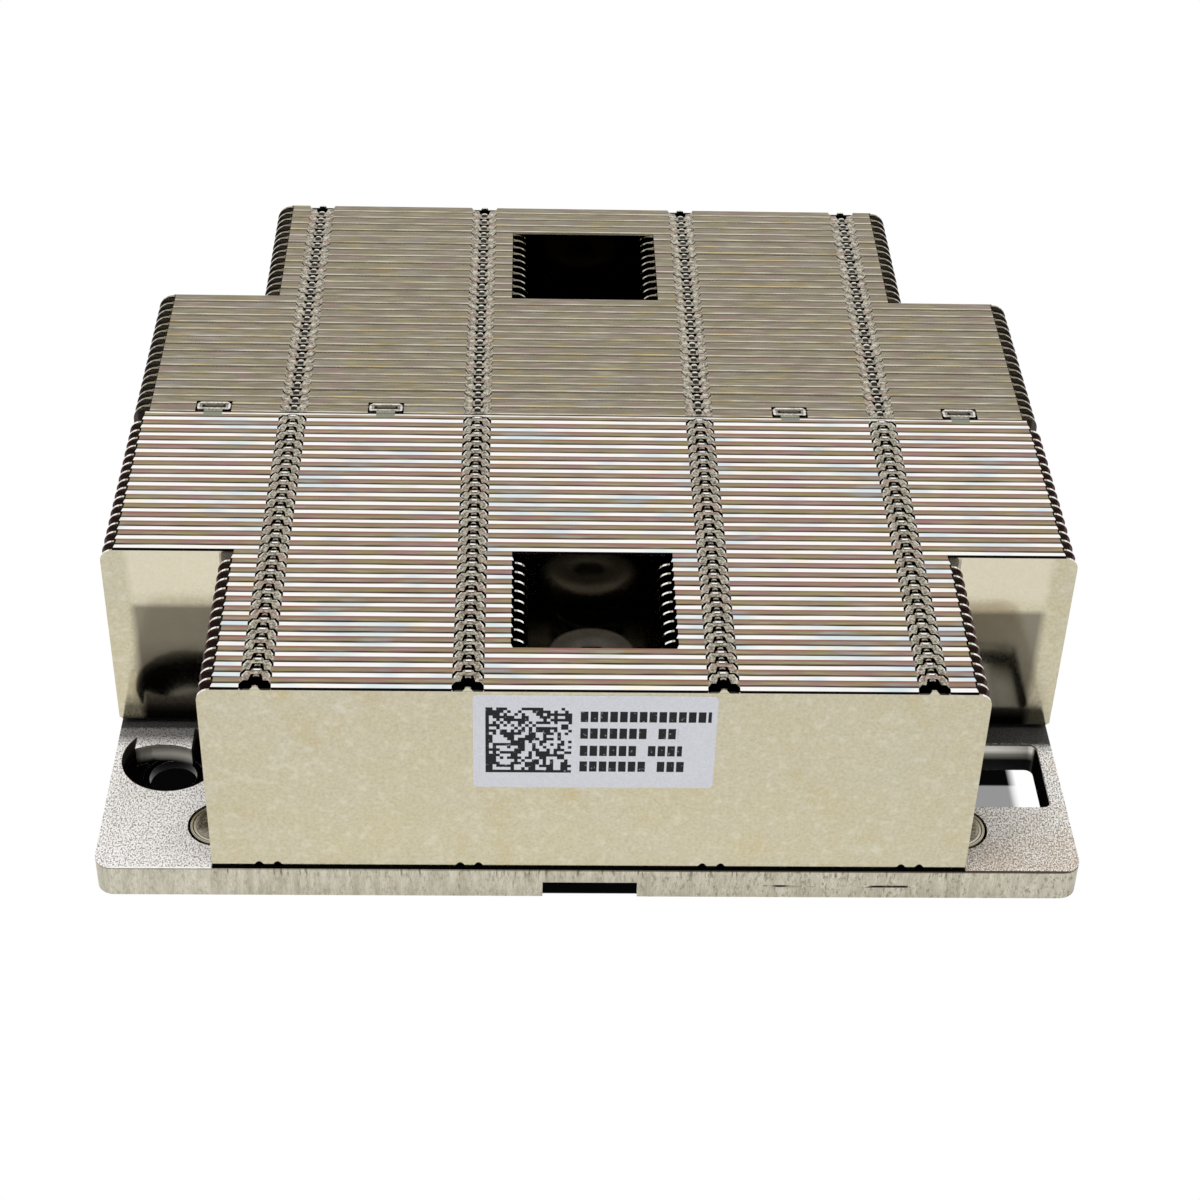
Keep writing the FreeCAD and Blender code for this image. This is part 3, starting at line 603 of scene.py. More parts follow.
def fin_surface(fins):
    """The fins' plating: where a point lies among the folds, the locks and the hooks."""
    skin = Surface("plated_fin_sheet")
    skin.across, skin.along, skin.height = skin.split(skin.place)
    skin.facing_x, skin.facing_y, skin.facing_z = skin.facing()
    skin.mottle = skin.use("mottle", Cloud=7 * MM, Speckle=0.4 * MM)
    # Which fin a point belongs to, and how far behind that fin's sheet it lies.
    slack = 0.06 * MM
    skin.depth = STACK_HALF + slack - abs(skin.along)
    skin.station = math.floor(skin.depth / FIN_PITCH)
    skin.behind = skin.depth - skin.station * FIN_PITCH
    skin.front = skin.along < 0.0
    skin.back = 1.0 - skin.front
    skin.sideways = abs(skin.across)
    outer, inner = NARROW_HIGH.x - fins.lock_inset, fins.lock_inset - WINDOW_HIGH.x
    skin.to_lock = skin.sideways.to_nearest(outer, inner)
    skin.lock = skin.to_lock.span(fins.notch_base, fins.notch_base - fins.lock_gap * 0.8)
    skin.to_hook = skin.sideways.to_nearest(WIDE_HIGH.x - fins.hook_inset, (inner + outer) / 2)
    skin.hook_end = fins.hook_reach - fins.fold_gap
    # Tints and scratches run along the fins, and the grit lies evenly.
    skin.tints = skin.noise(620.0, 3.0, 0.7, (0.30, 1.0, 1.0), (0.031, 0.012, 0.0))
    skin.cold = skin.noise(300.0, stretch=(0.45, 1.0, 1.0))
    skin.streaks = skin.noise(3200.0, stretch=(0.08, 1.0, 1.0))
    skin.grit = skin.noise(3600.0, 2.0, 0.7)
    return skin


def fold_colours(skin, finish, fins):
    """The folds, tinted most in the front half, and the painted highlights of their bends with a
    mask.
    """
    behind, front, tints, streaks = skin.behind, skin.front, skin.tints, skin.streaks
    strength = front.between(0.40, 0.9)
    # A line of painted shade runs close behind each bend, and the free edge of a fold is ruddy.
    rim = fins.bend + 0.11 * MM
    crease = behind.span(rim + 0.34 * MM, rim + 0.22 * MM) * streaks.span(0.75, 0.35, 0.6, 1.0)
    ruddy = behind.short_of(FIN_PITCH, 0.40, 0.22) * streaks.span(0.3, 0.6, 0.2, 0.9)
    # In the rear half the free edges have painted highlights in broken runs, some of them golden.
    rear_edge_highlight = behind.near(FIN_PITCH - 0.18 * MM, 0.13 * MM) * streaks.span(0.35, 0.6, 0.25, 0.95)
    rear_edge_highlight_tone = skin.mix(tints.span(0.50, 0.60), srgb(216, 208, 188), srgb(212, 188, 142))
    fold = skin.layers(skin.mix(front, finish.fold_rear, finish.fold),
                       (tints.span(0.50, 0.60) * strength, finish.olive),
                       (tints.span(0.47, 0.37) * strength, finish.rose),
                       (skin.cold.span(0.60, 0.72, 0.0, 0.5) * strength, finish.blue),
                       (streaks.span(0.45, 0.75, 0.0, 0.35), finish.sheet),
                       (ruddy * front, srgb(146, 96, 84)),
                       (rear_edge_highlight * skin.back, rear_edge_highlight_tone),
                       (crease * front.between(0.0, 0.92), srgb(30, 14, 18)))
    # Painted highlight: in the front half each bend is painted as a white line, tinted cold or warm
    # in places.
    wander = skin.noise(2000.0, 1.0, stretch=(0.05, 1.0, 1.0)).span(0.35, 0.65, -0.03, 0.04)
    bend_highlight = (behind + wander * MM).span(rim + 0.03 * MM, rim - 0.03 * MM) * front
    bend_highlight_tone = skin.layers(finish.bend,
                       (skin.cold.span(0.50, 0.66, 0.0, 0.7), srgb(206, 226, 232)),
                       (tints.span(0.56, 0.68, 0.0, 0.6), srgb(255, 240, 212)))
    return skin.mix(bend_highlight, fold, bend_highlight_tone), bend_highlight


def tab_colour(skin, finish, fins):
    """The tabs in the notches: grainy, with painted highlights on their rims and noses, and painted
    shade below the top and under each nose.
    """
    behind, to_lock, grit = skin.behind, skin.to_lock, skin.grit
    side = behind.span(0.35 * MM, fins.notch_shoulder, fins.notch_base - fins.lock_gap,
                       fins.notch_wide - fins.lock_gap)
    # Painted highlights along the rims of the tabs.
    edge = (to_lock.near(side - 0.09 * MM, 0.08 * MM) * grit.span(0.35, 0.5, 0.3, 1.0)
            * (behind < fins.notch_shoulder))
    nose = fins.notch_shoulder + fins.nose - fins.lock_gap
    # Painted shade under the nose of each tab, and a painted highlight at its tip.
    under = behind.near(nose - 0.34 * MM, 0.07 * MM) * (to_lock < 0.34 * MM)
    nose_highlight = behind.near(nose - 0.16 * MM, 0.11 * MM) * (to_lock < 0.30 * MM)
    # In the rear half a chain of painted highlights and painted shade runs along the middle of a
    # column.
    chain = (to_lock < 0.36 * MM) * (behind < 1.22 * MM)
    bead_highlight_shade = skin.mix(behind > 0.50 * MM, srgb(236, 232, 218), srgb(20, 16, 14))
    beside = (to_lock.near(0.95 * MM, 0.26 * MM) * behind.near(0.42 * MM, 0.20 * MM)
              * grit.span(0.40, 0.55, 0.2, 0.9))
    # Below the top, and where they do not face up, the tabs are painted in shade.
    unshaded_top = abs(skin.facing_z).span(0.6, 0.8) * skin.height.short_of(FIN_TOP, 0.16, 0.1)
    tongue = to_lock.span(fins.tongue * 1.2, fins.tongue * 1.1) * (
        behind.near(0.0, 0.12 * MM) | behind.near(FIN_PITCH, 0.12 * MM))
    # The tongues behind the foremost sheet are painted darker, in shade.
    tongue_shade_tone = skin.mix(skin.depth < 0.4 * MM, srgb(112, 106, 92), finish.sheet)
    plain = skin.mix(grit.span(0.38, 0.62), srgb(98, 92, 78), srgb(196, 190, 172))
    return skin.layers(plain,
                       (skin.tints.span(0.50, 0.62, 0.0, 0.4), srgb(168, 132, 122)),
                       (edge * skin.front.between(0.0, 0.85), srgb(240, 236, 226)),
                       (under * 0.9, srgb(24, 20, 18)),
                       (nose_highlight * skin.front.between(0.1, 1.0), finish.bend),
                       (chain * skin.back, bead_highlight_shade),
                       (beside * skin.back, srgb(218, 213, 198)),
                       (1.0 - unshaded_top, srgb(14, 12, 11)),
                       (tongue, tongue_shade_tone))


def hook_coats(skin, fins):
    """Where the halves meet: a painted highlight along one edge, and the hooks across it, with
    painted highlights and shade.
    """
    along, to_hook, grit = skin.along, skin.to_hook, skin.grit
    # Painted highlight along the edge where the halves meet.
    middle_edge_highlight = (along.near(-0.26 * MM, 0.15 * MM) * skin.streaks.span(0.3, 0.5, 0.5, 0.95)
             * (to_hook > fins.hook_neck))
    middle = skin.hook_end / 2
    on_hook = (to_hook < fins.hook_half) * along.near(middle, middle)
    # Painted highlights on the rims of each hook and across its head.
    hook_rim_highlight = (along.short_of(skin.hook_end, 0.34, 0.22)
            | to_hook.short_of(fins.hook_half, 0.3, 0.2) * (along > fins.hook_start)
            | along.near(0.80 * MM, 0.07 * MM))
    # The slit, and each hook below its top, are painted in shade.
    slot = along.near(1.28 * MM, 0.30 * MM) * (to_hook < fins.hook_half - 0.55 * MM)
    plain = skin.mix(grit.span(0.38, 0.62), srgb(112, 108, 94), srgb(172, 166, 150))
    hook = skin.layers(plain,
                       (hook_rim_highlight * grit.span(0.36, 0.52, 0.35, 0.95), srgb(246, 240, 236)),
                       (skin.height.short_of(FIN_TOP, 0.12, 0.16), GAP_SHADE),
                       (slot, GAP_SHADE))
    neck = (to_hook < fins.hook_neck) * along.near(-0.2 * MM, 0.5 * MM)
    return (middle_edge_highlight, srgb(248, 246, 240)), (on_hook, hook), (neck, srgb(138, 140, 124))


def fin_shade(skin, fins):
    """Little light reaches between the fins: a mask of the shade painted there, and one of the
    fins' ends.
    """
    sideways, height = skin.sideways, skin.height
    # Only the foremost narrow and wide sheets stand free.
    at_step = skin.station.near(WIDE_START, 0.5) * (sideways > NARROW_HIGH.x)
    open_sheet = ((skin.station < 0.5) | at_step) * (skin.behind < fins.sheet * 0.6)
    low = height.short_of(FIN_TOP, 0.40, 0.9) | skin.lock * height.short_of(FIN_TOP, 0.30, 0.36)
    shade = low * (1.0 - open_sheet) * abs(skin.facing_x).span(0.8, 0.5)
    at_end = sideways.short_of(NARROW_HIGH.x, 3.5, 2.5) * (
        (sideways < NARROW_HIGH.x + 0.05 * MM) | (sideways > WIDE_HIGH.x - 3.5 * MM))
    return shade, at_end


def over_frame_coats(skin, upright):
    """Painted reflection and shade on the wide sheets low down, where they stand over the frame: a
    pale band, a darker reflection under it and black at the foot.
    """
    height, foot = skin.height, SPREADER_HIGH.z
    over_frame = (abs(skin.along).near(-WIDE_LOW.y, 0.6 * MM) * upright
                  * skin.sideways.short_of(FRAME_HIGH.x, 2.2, 3.2))
    light_from = foot + 0.68 * (FIN_TOP - foot)
    # Painted darker on the left side than on the right.
    by_side = skin.mix(skin.across > 0.0, srgb(70, 66, 58), srgb(112, 107, 95))
    painted_reflection = skin.mix(height.span(light_from - 5 * MM, foot + 3 * MM), srgb(134, 129, 114), by_side)
    pale = height.span(light_from - 0.5 * MM, light_from + 2 * MM, 0.0, 0.6)
    dim = height.span(light_from + 0.3 * MM, light_from - 0.5 * MM)
    dark = height.span(foot + 2.6 * MM, foot + 1.2 * MM)
    return ((over_frame * pale, srgb(228, 220, 198)), (over_frame * dim, painted_reflection),
            (over_frame * dark, srgb(22, 19, 17)))


def sheet_colour(skin, finish, fins, shade, at_end):
    """The upright sheets: mottled cream plating, with painted shade, reflections and highlights."""
    station, height, front, to_lock = skin.station, skin.height, skin.front, skin.to_lock
    shadow = skin.mix(at_end, srgb(20, 17, 14),
                      skin.mix(front, srgb(72, 62, 57), srgb(84, 60, 58)))
    # Painted highlight on the rounded corners of the sheets, where they would catch the light.
    corner = (abs(skin.facing_x).near(0.60, 0.36) * height.short_of(FIN_TOP, 3.0, 2.0)
              * front.between(0.15, 1.0) * skin.streaks.span(0.3, 0.5, 0.5, 1.0))
    # Painted shade: the outermost sheets are painted black at the foot in two small arches at each
    # lock column.
    from_middle = (to_lock - 1.0 * MM) / (0.52 * MM)
    arch = (1.0 - from_middle * from_middle) * (0.50 * MM) + (SPREADER_HIGH.z - 0.25 * MM)
    # Painted shade: the upright walls where the halves meet and round the hooks are painted black.
    upright = abs(skin.facing_z) < 0.5
    middle = skin.hook_end / 2
    halves_gap_shade = upright * (skin.along.near(0.0, 0.14 * MM)
                       | (skin.to_hook < fins.hook_half + 0.3 * MM)
                       * skin.along.near(middle, middle + 0.3 * MM))
    spill = skin.noise(190.0, 6.0, 0.75, (1.0, 1.0, 0.8), (0.013, 0.0, 0.004))
    pale = skin.noise(900.0, 4.0, 0.7)
    return skin.layers(finish.sheet,
                       (skin.mottle["Clouds"] * 0.3, finish.sheet_warm),
                       (skin.mottle["Specks"] * 0.24, srgb(150, 140, 104)),
                       (spill.span(0.56, 0.72, 0.0, 0.5), srgb(192, 172, 122)),
                       (pale.span(0.52, 0.66, 0.0, 0.4), srgb(226, 222, 206)),
                       (skin.grit.span(0.52, 0.64, 0.0, 0.22), srgb(160, 150, 122)),
                       (shade * 0.98, shadow),
                       *over_frame_coats(skin, upright),
                       (corner, srgb(255, 252, 246)),
                       ((station < 0.5) * (height < arch), srgb(8, 6, 6)),
                       (halves_gap_shade, GAP_SHADE))


def plated_fin_material(finish, fins):
    """Nickel-plated fin sheet: cream faces, painted highlights on the bends, tinted folds, gaps in
    painted shade.
    """
    skin = fin_surface(fins)
    facing_z, height, specks = skin.facing_z, skin.height, skin.mottle["Specks"]
    shade, at_end = fin_shade(skin, fins)
    sheet = sheet_colour(skin, finish, fins, shade, at_end)
    fold, bend_highlight = fold_colours(skin, finish, fins)
    # Each bend has a painted reflection of the dark room in one thin line.
    mirror = facing_z.span(0.08, 0.13) * facing_z.span(0.70, 0.64)
    mirror_tone = skin.mix(skin.front, srgb(110, 102, 86), srgb(14, 11, 10))
    top = skin.layers(fold, (skin.lock, tab_colour(skin, finish, fins)),
                      *hook_coats(skin, fins), (mirror, mirror_tone))
    on_top = height.span(FIN_TOP - fins.bend, FIN_TOP - fins.bend * 0.9) * (
        facing_z.span(0.04, 0.14) | skin.lock * (1.0 - shade))
    free_edge = ((skin.facing_y < -0.7) * (skin.along > 0.5 * MM)
                 * (height > FIN_TOP - 0.34 * MM))
    rough = specks.between(0.10, 0.15) + (on_top | free_edge) * 0.14
    waves = skin.noise(900.0, 3.0, stretch=(0.25, 1.0, 0.6))
    return skin.finish({
        "Base Color": skin.mix(on_top, sheet, top),
        "Metallic": (free_edge | at_end * shade * 0.6).between(1.0, 0.2),
        "Roughness": rough - bend_highlight * on_top * 0.10,
        "Normal": skin.bump(waves, 0.12, 0.05 * MM)})


def cast_top(skin, finish, specks, contact_shadow):
    """The casting's upper face: sparkling, with stains, rust, painted shade near the fins and a
    painted light and dark rim.
    """
    across, along, grain = skin.across, skin.along, skin.grain
    end, block = FRAME_HIGH.y, -WIDE_LOW.y
    # Stains and rust lie mostly near the front right, and painted shade lies near the fins.
    right = across.span(0.0, 0.05) * along.span(0.0, -0.045)
    stain = (skin.mottle["Clouds"] * right.between(0.10, 0.65)
             * specks.span(0.62, 0.42, 0.2, 0.9))
    rust = (skin.endways.short_of(end, 7, 1, 0.0, 0.45) * across.span(0.0, 0.03)
            * specks.span(0.62, 0.46, 0.2, 1.0))
    near = skin.endways - grain["Height"] * (1.2 * MM)
    block_shade = (near.span(block + 1.0 * MM, block - 0.2 * MM)
            | near.span(block + 3.2 * MM, block + 1.2 * MM, 0.0, 0.8)
            | (across > 0.0) * near.span(block + 2.6 * MM, block + 1.6 * MM))
    # A painted rim runs along the front and rear: a painted highlight on the left and painted shade
    # on the right.
    rim_light_shade = skin.endways.short_of(end, 0.22, 0.16) * (1.0 - contact_shadow)
    rim_light_shade_tone = skin.mix(across.span(-0.004, 0.006), srgb(255, 255, 252), srgb(52, 44, 38))
    return skin.layers(finish.cast,
                       (specks.span(0.49, 0.39), srgb(124, 114, 110)),
                       (grain["Dark"] * 0.5, srgb(140, 128, 124)),
                       (specks.span(0.52, 0.58), srgb(255, 254, 253)),
                       (stain, srgb(186, 164, 130)),
                       (right.between(0.0, 0.5) * specks.span(0.50, 0.42), srgb(96, 84, 70)),
                       (rust, srgb(178, 150, 112)),
                       (block_shade * 0.96, srgb(16, 14, 13)),
                       (contact_shadow, srgb(8, 7, 6)),
                       (rim_light_shade, rim_light_shade_tone))


def cast_edge(skin, finish, streaks):
    """The casting's upright edges: sawn, with rubbed marks in short runs, chips and drips."""
    across, height, crown = skin.across, skin.height, FRAME_HIGH.z
    runs = skin.noise(700.0, 3.0, 0.75, (0.12, 1.0, 0.5), (0.02, 0.0, 0.0))
    band = height.near(crown - 2.3 * MM, 0.16 * MM) * across.near(0.027, 0.008)
    chips = skin.noise(3000.0, 3.0, 0.7, (1.0, 1.0, 0.4)).span(0.54, 0.64)
    drips = skin.noise(2600.0, stretch=(1.0, 1.0, 0.14)).span(0.56, 0.66, 0.0, 0.7)
    drips = drips * height.short_of(crown, 1.5, 0.5) * (skin.sideways < NARROW_HIGH.x)
    # Painted shade: a dark line along the top of the edge, darker on the right.
    brow_shade = height.short_of(crown, 0.26, 0.14)
    return skin.layers(finish.cast_edge,
                       (streaks * 0.65, srgb(160, 154, 134)),
                       (skin.grain["Dark"] * 0.7, srgb(120, 112, 96)),
                       (band * runs.span(0.46, 0.52), srgb(34, 30, 26)),
                       (chips * across.span(-0.03, 0.03, 0.3, 0.6), srgb(112, 104, 88)),
                       (drips, srgb(84, 76, 60)),
                       (brow_shade * across.span(-0.03, 0.01, 0.4, 0.9), srgb(58, 50, 42)))


def cast_hollow(skin):
    """The insides of pockets, openings and holes, with painted shade and highlights: a mask, a mask
    of a wall painted in shade, and a colour.
    """
    across, height, crown, facing_z = skin.across, skin.height, FRAME_HIGH.z, skin.facing_z
    inside = ((skin.sideways < FRAME_HIGH.x - 0.7 * MM) * (skin.endways < FRAME_HIGH.y - 0.7 * MM)
              * (facing_z > -0.5) * height.short_of(crown, 0.24, 0.3))
    guide = across * skin.along < 0.0
    # Painted shade on the outer wall of the right guide opening, which faces inwards.
    wall = guide * inside * skin.facing_x.span(-0.6, -0.9) * (across > 0.0)
    tilted = facing_z.span(0.2, 0.4) * facing_z.span(0.95, 0.8)
    # Painted shade that deepens downwards, painted light on the upper walls of the guide opening
    # and painted highlights on tilted rims.
    hollow_light_shade = skin.layers(srgb(150, 147, 138),
                          (height.short_of(crown, 1.3, 2.4), srgb(10, 9, 9)),
                          (guide * height.short_of(crown, 1.5, 0.9), srgb(236, 234, 226)),
                          (wall, srgb(14, 12, 11)),
                          (tilted * 0.9, srgb(235, 233, 228)))
    return inside, wall, hollow_light_shade


def cast_material(finish):
    """Nickel-plated casting: sparkling grain on top, upright marks on its edges."""
    skin = Surface("cast_nickel")
    skin.across, skin.along, skin.height = skin.split(skin.place)
    skin.facing_x, _, skin.facing_z = skin.facing()
    skin.sideways, skin.endways = abs(skin.across), abs(skin.along)
    skin.grain = skin.use("grain", Size=0.10 * MM)
    skin.mottle = skin.use("mottle", Cloud=6 * MM, Speckle=0.5 * MM)
    brush = skin.use("brush", Stretch=(1.0, 1.0, 0.15), Size=0.14 * MM)
    flat = skin.facing_z.span(0.5, 0.8)
    specks = skin.noise(6200.0, 2.0, 0.65, (1.0, 0.62, 1.0))
    # A painted shadow lies along the narrow fins' foremost sheets, on the frame beneath them.
    contact_shadow = (skin.sideways.span(NARROW_HIGH.x + 0.2 * MM, NARROW_HIGH.x)
               * (skin.endways > STACK_HALF - 0.6 * MM))
    outside = skin.mix(flat, cast_edge(skin, finish, brush["Streaks"]),
                       cast_top(skin, finish, specks, contact_shadow))
    inside, wall, hollow = cast_hollow(skin)
    relief = skin.grain["Height"] * flat + brush["Height"] * (1.0 - flat)
    return skin.finish({
        "Base Color": skin.mix(inside, outside, hollow),
        "Metallic": (flat * (1.0 - inside)).between(1.0, 0.25) * (1.0 - wall),
        "Specular IOR Level": (wall | contact_shadow * flat).between(0.5, 0.0),
        "Roughness": skin.grain["Height"].span(0.4, 1.0, 0.30, 0.42) + flat * 0.22,
        "Normal": skin.bump(relief, 0.5, 0.05 * MM)})


def spreader_material(finish):
    """Machined, nickel-plated spreader with fine milling marks."""
    skin = Surface("plated_spreader")
    _, _, height = skin.split(skin.place)
    _, _, facing_z = skin.facing()
    brush = skin.use("brush", Stretch=(0.08, 1.0, 1.0), Size=0.15 * MM)
    mottle = skin.use("mottle", Cloud=8 * MM, Speckle=0.3 * MM)
    # The staked heads of the posts are rough and duller, with painted shade in the groove round
    # them.
    rough = skin.use("grain", Size=0.3 * MM)["Height"].span(0.6, 1.0)
    low, high = FRAME_HIGH.z, SPREADER_HIGH.z
    raised = (height.span(low + 0.07 * MM, low + 0.09 * MM)
              * height.short_of(high, 0.1, 0.15))
    groove = facing_z.span(0.97, 0.90) * height.near(low, 0.08 * MM)
    tone = skin.layers(finish.copper,
                       (brush["Streaks"] * 0.4, srgb(226, 221, 206)),
                       (mottle["Clouds"] * 0.25, srgb(178, 158, 120)),
                       (raised, skin.mix(rough, srgb(74, 70, 62), srgb(164, 158, 144))),
                       (groove * 0.8, srgb(40, 36, 30)))
    return skin.finish({"Base Color": tone, "Metallic": 1.0,
                        "Roughness": mottle["Specks"].between(0.24, 0.36),
                        "Normal": skin.bump(brush["Height"], 0.3, 0.03 * MM)})


def steel_material(name, base, size, rough):
    """Turned or drawn steel, with rings or lines along it and a few dark specks."""
    skin = Surface(name)
    brush = skin.use("brush", Stretch=(0.2, 0.2, 1.0), Size=size)
    mottle = skin.use("mottle", Cloud=2 * MM, Speckle=0.2 * MM)
    tone = skin.layers(base,
                       (brush["Streaks"] * 0.5, [part * 0.55 for part in base]),
                       (mottle["Clouds"] * 0.25, srgb(92, 84, 72)))
    return skin.finish({"Base Color": tone, "Metallic": 0.8,
                        "Roughness": mottle["Specks"].between(rough, rough + 0.14),
                        "Normal": skin.bump(brush["Height"], 0.35, 0.03 * MM)})


def label_material(finish):
    """Matt label paper with a plain block of squares and four rows of plain blocks."""
    skin = Surface("printed_label")
    place_x, place_y, place_z = skin.split(skin.place)
    across, down = (place_x - LABEL_LOW.x) / MM, (LABEL_HIGH.z - place_z) / MM

    def inside(value, low, high):
        return (value > low) * (value < high)

    def dice(column, row):
        pair = skin.values("ShaderNodeCombineXYZ", {"X": column, "Y": row})["Vector"]
        return skin.values("ShaderNodeTexWhiteNoise", {"Vector": pair},
                           noise_dimensions="2D")["Value"]

    # A square block, 9 mm wide, of random cells with two plain borders.
    left, top, cells, cell = 1.3, 1.6, 24, 0.375
    column, row = math.floor((across - left) / cell), math.floor((down - top) / cell)
    squares = (dice(column, row) > 0.45) | ((column < 0.5) | (row > cells - 1.5))
    ink = squares * inside(column, -0.5, cells - 0.5) * inside(row, -0.5, cells - 0.5)
    # Rows of blocks as wide as letters, with a gap after some of them.
    start, pitch, half = 11.1, 1.02, 0.72
    for number, (middle, end) in enumerate(((2.8, 24.8), (5.1, 21.4), (7.5, 21.9), (9.7, 22.2))):
        letters = (across - start) / pitch
        letter = math.floor(letters)
        ink = ink | (inside(across, start, end) * inside(down, middle - half, middle + half)
                     * inside(letters - letter, 0.08, 0.86) * (dice(letter, 40.0 + number) > 0.14))
    ink = ink * (place_y < LABEL_LOW.y + 0.03 * MM)
    fibre = skin.noise(5000.0, 3.0)
    wear = skin.noise(2600.0, 4.0).span(0.64, 0.70, 1.0, 0.6)
    tone = skin.layers(finish.label,
                       (fibre.span(0.3, 0.7, 0.0, 0.3), srgb(190, 192, 200)),
                       (ink * wear, finish.ink))
    return skin.finish({"Base Color": tone, "Roughness": 0.55, "Metallic": 0.3,
                        "Specular IOR Level": 0.4,
                        "Normal": skin.bump(fibre, 0.15, 0.02 * MM)})


MATERIALS = {}


def finish_of(name):
    """A material by name, made the first time it is asked for."""
    scene = bpy.context.scene
    finish = scene.heatsink_finishes
    makers = {
        "fin": lambda: plated_fin_material(finish, scene.heatsink_fins),
        "cast": lambda: cast_material(finish),
        "spreader": lambda: spreader_material(finish),
        "screw": lambda: steel_material("turned_steel", finish.steel, 0.10 * MM, 0.22),
        "clip": lambda: steel_material("stamped_steel", finish.wire, 0.12 * MM, 0.30),
        "wire": lambda: steel_material("spring_wire", finish.wire, 0.08 * MM, 0.26),
        "label": lambda: label_material(finish),
    }
    if name not in MATERIALS:
        MATERIALS[name] = makers[name]()
    return MATERIALS[name]


# ---------------------------------------------------------------- folded fins


class FoldPath:
    """The outer line of a fin's section, foot, sheet and fold, measured along the sheet."""

    def __init__(self, fins, rear=False, skirt=0.0):
        self.sheet, self.skirt = fins.sheet, skirt
        self.reach = FIN_PITCH - (fins.gap_rear if rear else fins.fold_gap)
        self.corner = fins.corner_rear if rear else fins.corner
        self.gap = fins.gap_rear if rear else fins.lock_gap
        self.height = FIN_TOP - SPREADER_HIGH.z
        self.foot_radius = fins.foot_bend
        self.top_radius = fins.bend_rear if rear else fins.bend
        self.foot_end = self.reach - self.foot_radius
        self.sheet_start = self.foot_end + math.pi / 2 * self.foot_radius
        self.sheet_end = self.sheet_start + self.height - self.foot_radius - self.top_radius
        self.fold_start = self.sheet_end + math.pi / 2 * self.top_radius
        self.end = self.fold_start + self.reach - self.top_radius
        self.bottom = self.sheet_start - self.foot_radius - skirt if skirt else 0.0

    def creases(self):
        """Lengths at which the flat outline is split so that it can bend."""
        foot_steps, top_steps = 3, 6
        marks = [self.foot_end + (self.sheet_start - self.foot_end) * step / foot_steps
                 for step in range(foot_steps + 1)]
        return marks + [self.sheet_end + (self.fold_start - self.sheet_end) * step / top_steps
                        for step in range(top_steps + 1)]

    def point(self, along, depth):
        """Place (y, z) of a point of the sheet, depth inside its outer face."""
        if self.skirt and along < self.sheet_start:
            return depth, self.foot_radius + along - self.sheet_start
        if along < self.foot_end:
            return self.reach - along, depth
        if along < self.sheet_start:
            angle = (along - self.foot_end) / self.foot_radius
            radius = self.foot_radius - depth
            return (self.foot_radius - radius * math.sin(angle),
                    self.foot_radius - radius * math.cos(angle))
        if along < self.sheet_end:
            return depth, self.foot_radius + along - self.sheet_start
        if along < self.fold_start:
            angle = (along - self.sheet_end) / self.top_radius
            radius = self.top_radius - depth
            return (self.top_radius - radius * math.cos(angle),
                    self.height - self.top_radius + radius * math.sin(angle))
        return self.top_radius + along - self.fold_start, self.height - depth


def skirt_edge(path, fins, left, right, columns):
    """Lower edge of an outermost sheet, with two small notches at each lock column."""
    low, high = path.bottom, path.bottom + fins.foot_notch * 1.3
    edge = [(left, low)]
    for column in columns:
        edge += mirrored(column, [(-1.50 * MM, low), (-1.40 * MM, high),
                                  (-0.62 * MM, high), (-0.55 * MM, low)])
    return edge + [(right, low)]


def tab_half(path, fins):
    """Right half of a lock tab, beyond the free edge of the fold."""
    gap = path.gap
    root, wide, nose = fins.notch_base - gap, fins.notch_wide - gap, fins.notch_neck - gap
    start = path.end + FIN_PITCH - path.reach
    shoulder = start + fins.notch_shoulder - gap
    return [(root, path.end), (root, start + 0.2 * MM), (wide, shoulder), (nose, shoulder),
            (nose * 0.9, shoulder + fins.nose * 0.7), (nose * 0.6, shoulder + fins.nose)]


def hook_half(path, fins):
    """Right half of a hook: a neck, and a wider head with its corners taken off."""
    neck, head, round_off = fins.hook_neck, fins.hook_half, 0.4 * MM
    low, high = path.end + fins.hook_start, path.end + fins.hook_reach
    return [(neck, path.end), (neck, low), (head - round_off / 2, low),
            (head, low + round_off / 2), (head, high - round_off), (head - round_off, high)]


def fin_outline(path, fins, left, right, columns, tabs, hooks):
    """Flat outline of a fin: foot, rounded upper corners, and what the fold's edge carries."""
    corner = path.corner
    inner_left, inner_right = left + fins.foot_inset, right - fins.foot_inset
    outline = [(inner_left, 0.0), (inner_right, 0.0), (inner_right, path.sheet_start),
               (right, path.sheet_start)]
    if path.skirt:
        outline = skirt_edge(path, fins, left, right, columns)
    outline += arc(right - corner, path.sheet_end - corner, corner, corner, 0, 90, 10)
    fold_right = right - corner - fins.fold_inset
    outline += [(fold_right, path.fold_start + 0.1 * MM), (fold_right, path.end)]
    for column in sorted(tabs, reverse=True):
        outline += mirrored(column, tab_half(path, fins))
    for hook in sorted(hooks, reverse=True):
        outline += mirrored(hook, hook_half(path, fins))
    fold_left = left + corner + fins.fold_inset
    outline += [(fold_left, path.end), (fold_left, path.fold_start + 0.1 * MM)]
    outline += arc(left + corner, path.sheet_end - corner, corner, corner, 90, 180, 10)
    if not path.skirt:
        outline += [(left, path.sheet_start), (inner_left, path.sheet_start)]
    return outline


